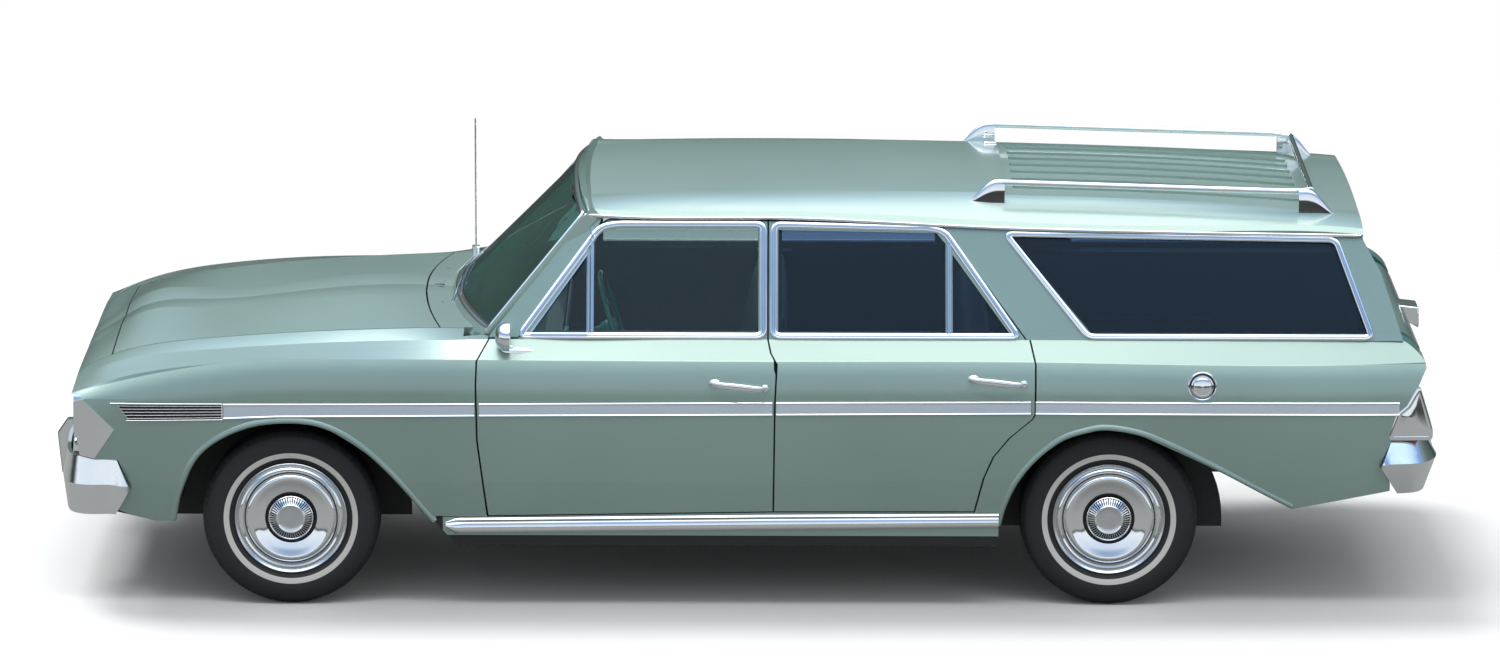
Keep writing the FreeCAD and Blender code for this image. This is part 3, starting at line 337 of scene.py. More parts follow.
@dataclass(frozen=True)
class BodyPaint:
    """Light sage metallic paint under clear coat, with a lining on the inner faces."""

    name: str
    lining: Lining = Lining.NONE
    colour: Colour = SAGE
    trim: Colour = (0.030, 0.150, 0.145)
    cloth: Colour = (0.42, 0.50, 0.47)
    seal: Colour = (0.012, 0.012, 0.013)
    metal: float = 0.38
    rough: float = 0.34
    coat_rough: float = 0.12
    flake_cells: float = 2600.0
    peel_cells: float = 160.0
    peel: float = 0.0008
    turn_height: float = 0.12
    turn_depth: float = 0.020
    crease_z: float = 0.889
    skin_y: float = 0.80
    card_y: float = 0.7725
    card_top: float = 0.950
    house_y: float = 0.8475
    house_reach: float = 0.62
    house_top: float = 0.838
    load_y: float = 0.735
    load_foot: float = 0.45
    pillar_y: float = 0.790
    pillar_foot: float = 0.930

    def make(self) -> bpy.types.Material:
        """Build the material.

        Returns:
            Paint with fine flakes, a slow tone change and orange peel, and the lining where it belongs.
        """
        coat = Coat(self.name)
        place = coat.place()
        flakes = coat.noise(self.flake_cells, 0.0)
        tone = coat.noise(1.3, 2.0)
        share = (flakes * 0.6 + tone * 0.4).ramp(0.36, 0.64)
        colour = coat.blend(share, shade(self.colour, 0.90), shade(self.colour, 1.10))
        rough = self.rough + tone * 0.05
        bare = 1.0
        lined = self.mask(coat, *place)
        if lined is not None:
            inner = {Lining.CARD: self.trim, Lining.LOAD: self.trim, Lining.WELL: self.seal,
                     Lining.HEADLINER: self.cloth}[self.lining]
            colour = coat.blend(lined, colour, coat.blend(coat.noise(420.0, 2.0), shade(inner, 0.8), inner))
            rough = rough + lined * 0.35
            bare = 1.0 - lined
        relief = coat.noise(self.peel_cells, 1.0) * self.peel + self.turn(*place)
        return coat.surface({
            "Base Color": colour, "Metallic": self.metal * bare, "Roughness": rough, "Coat Weight": bare,
            "Coat Roughness": self.coat_rough, "Coat IOR": 1.5, "Normal": coat.bump(relief, self.turn_depth)})

    def turn(self, x: Wave, y: Wave, z: Wave) -> Wave:
        """Soft turn of the side under the shoulder crease.

        The crease lies at its height, less 0.19 (x - 1.5)^2 ahead of x = 1.5 m and 14 mm less at the rear.
        Below it the relief falls as the square of the share of the turn's height.

        Args:
            x: Place along the car.
            y: Place across it.
            z: Height.

        Returns:
            Relief from nothing at the crease to one below the turn.
        """
        ahead = (x - 1.5) * (x > 1.5)
        crease = self.crease_z - ahead * ahead * 0.19 - (0.0 - x).ramp(0.9, 1.7) * 0.014
        share = (z - crease) / self.turn_height + 1.0
        share = share * (share > 0.0)
        share = share * (share < 1.0) + (share > 0.9999)
        return 1.0 - share * share * (abs(y) > self.skin_y)

    def mask(self, coat: Coat, x: Wave, y: Wave, z: Wave) -> Wave | None:
        """Where the lining is.

        Args:
            coat: Material in the making.
            x: Place along the car.
            y: Place across it.
            z: Height.

        Returns:
            One on the lining, or None when there is none.
        """
        if self.lining is Lining.CARD:
            return (abs(y) < self.card_y) * (z < self.card_top)
        if self.lining is Lining.HEADLINER:
            return coat.facing()[2] < -0.25
        if self.lining is Lining.WELL:
            post = z + (x - FRONT_AXLE_X * MM) * 0.92 < 1.2344
            return self.near_wheel(x - FRONT_AXLE_X * MM, y, z) * post
        if self.lining is Lining.LOAD:
            house = self.near_wheel(x - REAR_AXLE_X * MM, y, z)
            lean = abs(y) + (z - BELT_Z * MM) * GLASS_LEAN
            pillar = (lean < self.pillar_y) * (z > self.pillar_foot)
            panel = (abs(y) < self.load_y) * (z < self.pillar_foot + 0.0001) * (z > self.load_foot)
            cabin = pillar + panel
            return house + cabin - house * cabin
        return None

    def near_wheel(self, ahead: Wave, y: Wave, z: Wave) -> Wave:
        """Faces of a wheel house: inboard of the outer skin, low, and close to the axle."""
        return (abs(y) < self.house_y) * (abs(ahead) < self.house_reach) * (z < self.house_top)


@dataclass(frozen=True)
class FloorFinish:
    """The floor pan: carpet inside the cabin, body paint outside the sills, black everywhere else: the
    underseal, which is also painted shade on the sill's foot under the moulding.
    """

    name: str = "floor pan"
    carpet: Colour = (0.020, 0.095, 0.092)
    paint: Colour = SAGE
    black: Colour = (0.014, 0.014, 0.015)
    sill_y: float = 0.745
    cabin_x: float = 1.0
    cabin_z: float = 0.268
    sill_x: tuple[float, float] = (-0.9, 1.05)
    sill_z: float = 0.262

    def make(self) -> bpy.types.Material:
        """Build the material: place and facing decide between the three finishes.

        Returns:
            The material.
        """
        coat = Coat(self.name)
        x, y, z = coat.place()
        along, _, upward = coat.facing()
        rear, front = self.sill_x
        inside = (abs(y) < self.sill_y) * (z > self.cabin_z) * (x < self.cabin_x)
        cabin = inside * (upward > -0.3) * (along < 0.5)
        # Below sill_z the sill's outer face stays black: underseal, and painted shade under the sill
        # moulding.
        sill = (abs(y) > self.sill_y - 0.0001) * (z > self.sill_z) * (x < front) * (x > rear)
        pile = coat.noise(900.0, 2.0)
        dust = coat.noise(18.0, 3.0)
        tint = coat.blend(dust, self.black, shade(self.black, 1.8))
        tint = coat.blend(cabin, tint, coat.blend(pile, shade(self.carpet, 0.7), self.carpet))
        tint = coat.blend(sill, tint, self.paint)
        return coat.surface({"Base Color": tint, "Roughness": 0.75 - sill * 0.40 + dust * 0.1,
                             "Coat Weight": sill, "Normal": coat.bump(pile * cabin, 0.0006)})


@dataclass(frozen=True)
class Chrome:
    """Polished plating with a faint haze and small pits."""

    name: str = "chrome plate"
    colour: Colour = (0.80, 0.82, 0.84)
    rough: float = 0.06

    def make(self) -> bpy.types.Material:
        """Build the material.

        Returns:
            The material.
        """
        coat = Coat(self.name)
        haze = coat.noise(14.0, 4.0)
        pits = coat.noise(900.0, 1.0).ramp(0.68, 0.78)
        return coat.surface({"Base Color": coat.blend(haze, shade(self.colour, 0.93), self.colour),
                             "Metallic": 1.0, "Roughness": haze * 0.05 + pits * 0.12 + self.rough})


@dataclass(frozen=True)
class BrushedSilver:
    """Anodised strip brushed along the car."""

    name: str = "brushed strip"
    colour: Colour = (0.70, 0.80, 0.92)

    def make(self) -> bpy.types.Material:
        """Build the material.

        Returns:
            The material.
        """
        coat = Coat(self.name)
        lines = coat.noise(90.0, 2.0, (0.02, 1.0, 30.0))
        return coat.surface({"Base Color": coat.blend(lines, shade(self.colour, 0.88), self.colour),
                             "Metallic": 0.30, "Roughness": lines * 0.12 + 0.34,
                             "Normal": coat.bump(lines, 0.00003)})


@dataclass(frozen=True)
class Plain:
    """A painted, moulded or rubber surface with a fine grain."""

    name: str
    colour: Colour
    rough: float = 0.5
    metal: float = 0.0
    grain: float = 300.0
    depth: float = 0.00008
    wear: float = 0.15
    clear: float = 0.0

    def make(self) -> bpy.types.Material:
        """Build the material.

        Returns:
            The material.
        """
        coat = Coat(self.name)
        fine = coat.noise(self.grain, 2.0)
        slow = coat.noise(5.0, 3.0)
        share = (fine * 0.4 + slow * 0.6).ramp(0.3, 0.7)
        tint = coat.blend(share, shade(self.colour, 1.0 - self.wear), shade(self.colour, 1.0 + self.wear))
        return coat.surface({
            "Base Color": tint, "Metallic": self.metal, "Coat Weight": self.clear,
            "Roughness": slow * 0.12 + (self.rough - 0.06), "Normal": coat.bump(fine, self.depth)})


@dataclass(frozen=True)
class Vinyl:
    """Teal seat vinyl with a pebbled grain and a paler insert between its bolsters."""

    name: str = "seat vinyl"
    colour: Colour = (0.055, 0.215, 0.205)
    pale: Colour = (0.30, 0.40, 0.39)
    insert_y: float = 0.56

    def make(self) -> bpy.types.Material:
        """Build the material.

        Returns:
            The material.
        """
        coat = Coat(self.name)
        _, y, _ = coat.place()
        pebble = coat.noise(700.0, 2.0)
        tint = coat.blend(coat.noise(6.0, 2.0), shade(self.colour, 0.8), self.colour)
        tint = coat.blend((abs(y) < self.insert_y) * 0.35, tint, self.pale)
        return coat.surface({"Base Color": tint, "Roughness": pebble * 0.12 + 0.40,
                             "Normal": coat.bump(pebble, 0.0002)})


@dataclass(frozen=True)
class Pane:
    """Tinted safety glass."""

    name: str
    colour: Colour

    def make(self) -> bpy.types.Material:
        """Build the material, with a breath of dust."""
        coat = Coat(self.name)
        return coat.surface({"Base Color": self.colour, "Transmission Weight": 1.0, "IOR": 1.45,
                             "Roughness": coat.noise(9.0, 3.0) * 0.004})


@dataclass(frozen=True)
class Lens:
    """Moulded lamp lens with vertical flutes, and painted shade in the troughs of the flutes for depth."""

    name: str
    colour: Colour
    flutes: float = 420.0
    metal: float = 0.0

    def make(self) -> bpy.types.Material:
        """Build the material.

        Returns:
            The material.
        """
        coat = Coat(self.name)
        _, y, z = coat.place()
        flute_and_shade = (y * self.flutes * 2.0).sine() * 0.5 + 0.5
        step = (z * self.flutes * 0.7).sine() * 0.5 + 0.5
        # Painted shade: the colour falls to 0.72 of itself in the trough of each flute, and the same wave
        # also drives roughness and bump.
        return coat.surface({"Base Color": coat.blend(flute_and_shade, shade(self.colour, 0.72), self.colour),
                             "Roughness": flute_and_shade * 0.1 + 0.08, "IOR": 1.49, "Metallic": self.metal,
                             "Coat Weight": 1.0, "Normal": coat.bump(flute_and_shade * 0.7 + step * 0.3, 0.0006)})


@dataclass(frozen=True)
class TyreRubber:
    """Black rubber with a narrow white ring on the outer wall and moulded ribs."""

    name: str
    centre: Place
    ring_radii: tuple[float, float] = (0.2145, 0.2335)
    ring_edge: float = 0.0006
    rubber: Colour = (0.012, 0.012, 0.013)
    dusty: Colour = (0.030, 0.030, 0.032)
    white: Colour = (0.78, 0.78, 0.75)

    def make(self) -> bpy.types.Material:
        """Build the material: the ring lies between two radii, on the wall that faces outwards.

        Returns:
            The material.
        """
        coat = Coat(self.name)
        x, y, z = coat.place()
        dx, dz = x - self.centre[0], z - self.centre[2]
        radius = (dx * dx + dz * dz).root()
        outward = ((y - self.centre[1]) * math.copysign(1.0, self.centre[1])) > 0.03
        inner, outer = (radius.ramp(at - self.ring_edge, at + self.ring_edge) for at in self.ring_radii)
        dust = coat.noise(30.0, 4.0)
        black = coat.blend(dust, self.rubber, self.dusty)
        tint = coat.blend(inner * (1.0 - outer) * outward, black, self.white)
        ribs = (radius * 2600.0).sine() * 0.5 + 0.5
        return coat.surface({"Base Color": tint, "Roughness": dust * 0.15 + 0.60,
                             "Normal": coat.bump(ribs * 0.5 + dust * 0.5, 0.0003)})


class Palette:
    """Every finish of the car, made once."""

    def __init__(self) -> None:
        """Make the materials."""
        self.paint = BodyPaint("sage paint").make()
        self.paint_door = BodyPaint("sage paint, door", Lining.CARD).make()
        self.paint_roof = BodyPaint("sage paint, roof", Lining.HEADLINER).make()
        self.paint_wing = BodyPaint("sage paint, front wing", Lining.WELL).make()
        self.paint_rear = BodyPaint("sage paint, rear side", Lining.LOAD).make()
        self.chrome = Chrome().make()
        self.satin = Chrome("satin plate", (0.62, 0.64, 0.66), 0.22).make()
        self.mirror = Chrome("mirror glass", (0.70, 0.74, 0.78), 0.02).make()
        self.silver = BrushedSilver().make()
        self.black = Plain("satin black", (0.012, 0.012, 0.013), 0.42).make()
        self.ink = Plain("flat black", (0.008, 0.008, 0.009), 0.80).make()
        self.rubber = Plain("weather rubber", (0.016, 0.016, 0.017), 0.68, wear=0.3).make()
        self.chassis = Plain("chassis paint", (0.020, 0.020, 0.021), 0.62, grain=120.0, wear=0.35).make()
        self.iron = Plain("cast iron", (0.055, 0.052, 0.050), 0.60, 0.5, grain=200.0, wear=0.4).make()
        self.steel = Plain("exhaust steel", (0.20, 0.19, 0.18), 0.45, 0.8, wear=0.3).make()
        self.teal = Plain("teal dash paint", (0.018, 0.130, 0.125), 0.38, clear=0.3).make()
        self.grip = Plain("teal steering wheel", (0.015, 0.36, 0.33), 0.22, clear=0.8).make()
        self.floor = FloorFinish().make()
        self.vinyl = Vinyl().make()
        self.screen = Pane("screen glass", (0.09, 0.25, 0.22)).make()
        self.clear = Pane("door glass", (0.46, 0.56, 0.56)).make()
        self.dark = Pane("rear glass", (0.24, 0.34, 0.47)).make()
        self.lamp = Lens("sealed beam", (0.80, 0.83, 0.84), 260.0, 0.55).make()
        self.red = Lens("tail lens", (0.42, 0.012, 0.014)).make()


@dataclass
class Piece:
    """One object, gathered from surfaces worked out as whole arrays."""

    name: str
    verts: list[Points] = field(default_factory=list)
    faces: list[Points] = field(default_factory=list)
    marks: list[Points] = field(default_factory=list)
    count: int = 0

    def grid(self, points: Points, close_u: bool = False, close_v: bool = False,
             mark: int | Points = 0) -> Piece:
        """Add a surface: row i and column j of the array is the point at parameters u_i, v_j.

        Args:
            points: Array of shape (rows, columns, 3).
            close_u: Join the last row to the first.
            close_v: Join the last column to the first.
            mark: Material number, or one for each column of faces.

        Returns:
            This piece.
        """
        rows, cols = points.shape[:2]
        number = np.arange(rows * cols).reshape(rows, cols) + self.count
        if close_u:
            number = np.vstack([number, number[:1]])
        if close_v:
            number = np.hstack([number, number[:, :1]])
        quads = np.stack([number[:-1, :-1], number[1:, :-1], number[1:, 1:], number[:-1, 1:]], -1)
        marks = np.broadcast_to(np.asarray(mark), quads.shape[:2])
        self.verts.append(points.reshape(-1, 3))
        self.faces.append(quads.reshape(-1, 4))
        self.marks.append(marks.reshape(-1))
        self.count += rows * cols
        return self

    def fan(self, ring: Points) -> Piece:
        """Close a ring, an array of shape (n, 3), with a fan to its middle."""
        middle = np.broadcast_to(ring.mean(0), ring.shape)
        return self.grid(np.stack([ring, middle], 0), False, True)

    def tube(self, profile: Points, path: Points, up: Points | Place, closed: bool = False,
             shut: bool = True, ends: bool = True) -> Piece:
        """Carry a profile along a path, with mitred corners.

        At each corner the profile's first axis lies along the half-way line between the two runs,
        stretched by one over the cosine of half the turn, and its second axis along up.

        Args:
            profile: Array (m, 2): across the path, and along up.
            path: Array (n, 3).
            up: One vector, or one for each point of the path.
            closed: The path comes back to its start.
            shut: The profile is a closed ring.
            ends: Close the two ends.

        Returns:
            This piece.
        """
        up = np.broadcast_to(np.asarray(up, float), path.shape)
        run = np.roll(path, -1, 0) - path
        run /= np.maximum(np.linalg.norm(run, axis=1, keepdims=True), 1e-9)
        before = np.roll(run, 1, 0)
        if not closed:
            run[-1] = run[-2]
            before[0] = run[0]
        across = unit(np.cross(up, before)) + unit(np.cross(up, run))
        across *= 2.0 / np.maximum((across ** 2).sum(1, keepdims=True), 0.8)
        rings = path[:, None] + profile[None, :, :1] * across[:, None] + profile[None, :, 1:] * up[:, None]
        self.grid(rings, closed, shut)
        if shut and ends and not closed:
            self.caps(rings)
        return self

    def caps(self, rings: Points) -> Piece:
        """Close the first and the last of a row of rings with a fan each."""
        return self.fan(rings[0, ::-1]).fan(rings[-1])

    def box(self, low: Place, high: Place) -> Piece:
        """Add a block between two corners; a bevel rounds it later if the piece is made with one.

        Args:
            low: Corner with the smallest x, y and z.
            high: Corner with the largest.

        Returns:
            This piece.
        """
        (x0, y0, z0), (x1, y1, z1) = low, high
        rings = np.array([[(x0, y0, z), (x1, y0, z), (x1, y1, z), (x0, y1, z)] for z in (z0, z1)])
        return self.grid(rings, False, True).caps(rings)

    def lathe(self, profile: Points, centre: Points | Place, axis: Points | Place, steps: int = 64,
              mark: int | Points = 0) -> Piece:
        """Turn a profile round an axis.

        The point at angle t and profile station (a, r) is centre + a axis + r (cos t e + sin t f), with e
        and f square to the axis.

        Args:
            profile: Array (m, 2): place along the axis, and radius.
            centre: Where the axis starts.
            axis: Its direction.
            steps: Points round.
            mark: Material number, or one for each band.

        Returns:
            This piece.
        """
        axis = unit(np.asarray(axis, float))
        first = unit(np.cross(axis, [0.3, 0.2, 1.0] if abs(axis[2]) < 0.9 else [1.0, 0.2, 0.1]))
        second = np.cross(axis, first)
        turn = np.linspace(0.0, 2 * np.pi, steps, endpoint=False)[:, None, None]
        radial = np.cos(turn) * first + np.sin(turn) * second
        points = np.asarray(centre, float) + profile[None, :, :1] * axis + profile[None, :, 1:] * radial
        return self.grid(points, True, False, mark)

    def make(self, body: str, slot: str, materials: list[bpy.types.Material], bevel: float = 0.0,
             side: Side = Side.LEFT, smooth: float = 40.0) -> bpy.types.Object:
        """Make the object, in metres, riding on a body.

        Args:
            body: Body that it moves with.
            slot: Material slot of the record; not used.
            materials: Materials by number.
            bevel: Width of rounded edges in millimetres.
            side: Side of the car; the surfaces are given for the left one.
            smooth: Largest angle that is shaded smooth, in degrees.

        Returns:
            The object.
        """
        verts = np.concatenate(self.verts) * MM * (1.0, side.value, 1.0)
        faces = np.concatenate(self.faces)
        mesh = bpy.data.meshes.new(self.name)
        mesh.from_pydata(verts.tolist(), [], faces.tolist())
        mesh.polygons.foreach_set("material_index", np.concatenate(self.marks).astype(np.int32))
        for material in materials:
            mesh.materials.append(material)
        tidy(mesh, smooth)
        made = bpy.data.objects.new(self.name, mesh)
        bpy.context.scene.collection.objects.link(made)
        if bevel > 0.0:
            rounding = made.modifiers.new("rounded edges", "BEVEL")
            rounding.width = bevel * MM
            rounding.segments = 2
            rounding.limit_method = "ANGLE"
            rounding.angle_limit = math.radians(38.0)
            rounding.harden_normals = False
        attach(made, body)
        LOG.info("%s: %d faces", self.name, len(faces))
        return made


def unit(vectors: Points) -> Points:
    """Vectors of length one."""
    vectors = np.asarray(vectors, float)
    return vectors / np.maximum(np.linalg.norm(vectors, axis=-1, keepdims=True), 1e-12)


def tidy(mesh: bpy.types.Mesh, smooth: float) -> None:
    """Merge doubles, drop empty faces, point faces outwards and shade smooth below an angle.

    Args:
        mesh: Mesh in metres.
        smooth: Angle in degrees.
    """
    work = bmesh.new()
    work.from_mesh(mesh)
    bmesh.ops.remove_doubles(work, verts=work.verts, dist=1e-6)
    bmesh.ops.dissolve_degenerate(work, edges=work.edges, dist=1e-7)
    bmesh.ops.recalc_face_normals(work, faces=work.faces)
    limit = math.radians(smooth)
    for face in work.faces:
        face.smooth = True
    for edge in work.edges:
        edge.smooth = len(edge.link_faces) == 2 and edge.calc_face_angle(0.0) < limit
    work.to_mesh(mesh)
    work.free()


def rounded(corners: Sequence[tuple[float, ...]], radius: float, closed: bool = True,
            steps: int = 5) -> Points:
    """Outline with its corners rounded.

    Each corner becomes points of a quadratic curve, (1-t)^2 a + 2t(1-t) p + t^2 b, where a and b lie the
    radius away from the corner p on its two runs.

    Args:
        corners: Corners in turn.
        radius: Distance from the corner where the curve starts.
        closed: The outline comes back to its start.
        steps: Points on each corner.

    Returns:
        Array (n, dimensions).
    """
    points = np.asarray(corners, float)
    t = np.linspace(0.0, 1.0, steps)[:, None]
    out = []
    last = len(points) - 1
    for i, corner in enumerate(points):
        if not closed and i in (0, last):
            out.append(corner[None])
            continue
        back, ahead = points[i - 1] - corner, points[(i + 1) % len(points)] - corner
        reach = min(radius, 0.45 * np.linalg.norm(back), 0.45 * np.linalg.norm(ahead))
        a, b = corner + unit(back) * reach, corner + unit(ahead) * reach
        out.append((1 - t) ** 2 * a + 2 * t * (1 - t) * corner + t ** 2 * b)
    return np.concatenate(out)


def smooth_path(corners: Sequence[tuple[float, ...]] | Points, steps: int) -> Points:
    """Curve through every corner: a Catmull-Rom spline, worked out for all runs at once.

    Args:
        corners: Points that the curve goes through.
        steps: Points on each run.

    Returns:
        Array (n, dimensions).
    """
    p = np.asarray(corners, float)
    p = np.vstack([2 * p[0] - p[1], p, 2 * p[-1] - p[-2]])
    t = np.linspace(0.0, 1.0, steps, endpoint=False)[None, :, None]
    a, b, c, d = (p[i:len(p) - 3 + i][:, None] for i in range(4))
    runs = 2 * b + (c - a) * t + (2 * a - 5 * b + 4 * c - d) * t ** 2 + (3 * b - a - 3 * c + d) * t ** 3
    return np.vstack([0.5 * runs.reshape(-1, p.shape[1]), p[-2]])


def circle(radius: float, steps: int) -> Points:
    """Ring of a profile: radius (cos t, sin t)."""
    t = np.linspace(0.0, 2 * np.pi, steps, endpoint=False)
    return np.column_stack([radius * np.cos(t), radius * np.sin(t)])


def sheet(x: Points | float, y: Points | float, z: Points | float) -> Points:
    """Points from three arrays, which widen to one shape."""
    return np.stack(np.broadcast_arrays(x, y, z), -1)


class Flank:
    """The car's side, as half widths over x and z."""

    x = np.array([-2360, -2200, -2100, -2000, -1712, -1578, -1300, -1000, -105, 885, 1108, 1300, 1578, 1750,
                  1850, 1913, 1980, 2050, 2100, 2150, 2185, 2240, 2300, 2335], float)
    wide = np.array([868, 878, 882.5, 886, 893, 895.5, 899.8, 903, 905, 905, 904, 902.2, 898, 893.7,
                     890.8, 889, 887, 884.4, 881.8, 878.2, 875, 869, 861, 850], float)
    low = np.array([485, 483, 481, 480, 478, 476, 473, 470, 462, 454, 452, 452, 451, 450,
                    449, 447, 447, 446, 445, 444, 443, 442, 441, 440], float)
    crease = np.array([881, 876, 874, 872.5, 872, 875, 880, 884, 884, 888, 889, 888.5, 885, 878,
                       869.6, 861, 855, 842, 833, 820, 810, 791, 768, 756], float)
    floor_z = 200.0
    moulding_z = (676.0, 744.0)
    tuck = 47.0
    flare = 11.0
    shoulder = 21.0
    bulges = (8.0, 12.0, 12.0)

    @classmethod
    def y(cls, x: Points, z: Points) -> Points:
        """Half width of the skin.

        It is widest at the moulding. The skin runs in by the flare to the lower crease, by the tuck from
        there to the floor, and by the shoulder up to the upper crease, and each run bulges by b t (1 - t).

        Args:
            x: Places along the car.
            z: Heights.

        Returns:
            Half widths.
        """
        wide, low, crease = (np.interp(x, cls.x, row) for row in (cls.wide, cls.low, cls.crease))
        foot, head = cls.moulding_z
        under = np.clip((z - cls.floor_z) / (low - cls.floor_z), 0, 1)
        lower = np.clip((z - low) / (foot - low), 0, 1)
        upper = np.clip((z - head) / np.maximum(crease - head, 1.0), 0, 1)
        y = wide - cls.tuck * (1 - under) - cls.flare * (1 - lower) - cls.shoulder * upper
        return y + sum(b * t * (1 - t) for b, t in zip(cls.bulges, (under, lower, upper)))


def on_flank(outline: Points, stand: Points | float = 0.0) -> Points:
    """Side view outline (x, z) laid on the left flank, or at a distance out of it."""
    x, z = outline.T
    return sheet(x, Flank.y(x, z) + stand, z)


GLASS_OUT = unit(np.array([0.0, RAIL_Z - BELT_Z, BELT_Y - RAIL_Y]))


def glass_y(z: Points | float) -> Points | float:
    """Half width of the side glass plane at a height."""
    return BELT_Y - (z - BELT_Z) * GLASS_LEAN


def on_glass(outline: Points) -> Points:
    """Side view outline (x, z) laid on the left glass plane."""
    return sheet(outline[:, 0], glass_y(outline[:, 1]), outline[:, 1])


def bead(width: float, height: float) -> Points:
    """Half-round profile: (w cos t, h sin t) over half a turn, with a flat foot."""
    t = np.linspace(0.0, np.pi, 7)
    return np.column_stack([width / 2 * np.cos(t), height * np.sin(t)])


def slab(half: float, low: float, high: float) -> Points:
    """Rectangular profile: half of its width to each side, between two heights."""
    return np.array([(-half, low), (-half, high), (half, high), (half, low)])


def chamfered(foot: float, top: float, heights: Place) -> Points:
    """Strip profile with chamfered shoulders.

    Args:
        foot: Half width of its foot.
        top: Half width of its flat top.
        heights: Heights of the foot, the shoulder and the top.

    Returns:
        Array (6, 2).
    """
    half = np.array([(-foot, heights[0]), (-foot, heights[1]), (-top, heights[2])])
    return np.vstack([half, half[::-1] * (-1.0, 1.0)])


@dataclass
class Coachwork:
    """Painted panels, glass and underside, which keep their solids' shapes."""

    def dress(self, palette: Palette, nodes: dict[str, bpy.types.Object]) -> None:
        """Give each solid its finish.

        Args:
            palette: The finishes.
            nodes: The frame's nodes by name.
        """
        finishes = (
            (palette.paint, ("hood", "header_panel", "cowl", "tailgate", "rear_panel")),
            (palette.paint_roof, ("roof",)),
            (palette.paint_wing, ("front_fender_{}",)),
            (palette.paint_door, ("front_door_{}", "rear_door_{}")),
            (palette.paint_rear, ("quarter_panel_{}",)),
            (palette.screen, ("windscreen",)),
            (palette.clear, ("front_door_glass_{}",)),
            (palette.dark, ("tail_glass", "rear_door_glass_{}", "quarter_glass_{}")),
            (palette.chrome, ("front_bumper", "rear_bumper", "grille", "headlamps", "roof_rack", "antenna",
                              "door_mirror", "fuel_cap", "wheel_front_{}", "wheel_rear_{}")),
            (palette.rubber, ("tyre_front_{}", "tyre_rear_{}")),
            (palette.red, ("tail_lamp_{}",)),
            (palette.teal, ("dashboard", "steering_wheel", "centre_post_{}")),
            (palette.chassis, ("front_crossmember", "rear_axle", "fuel_tank")),
            (palette.floor, ("underbody",)),
            (palette.black, ("front_panel",)),
            (palette.iron, ("engine_block", "knuckle_{}")),
            (palette.steel, ("exhaust",)),
            (palette.vinyl, ("front_bench", "rear_bench")),
        )
        for material, names in finishes:
            for name in sorted({name.format(side.word) for name in names for side in Side}):
                slots = nodes[name].material_slots
                if not slots:
                    nodes[name].data.materials.append(material)
                for entry in slots:
                    entry.material = material


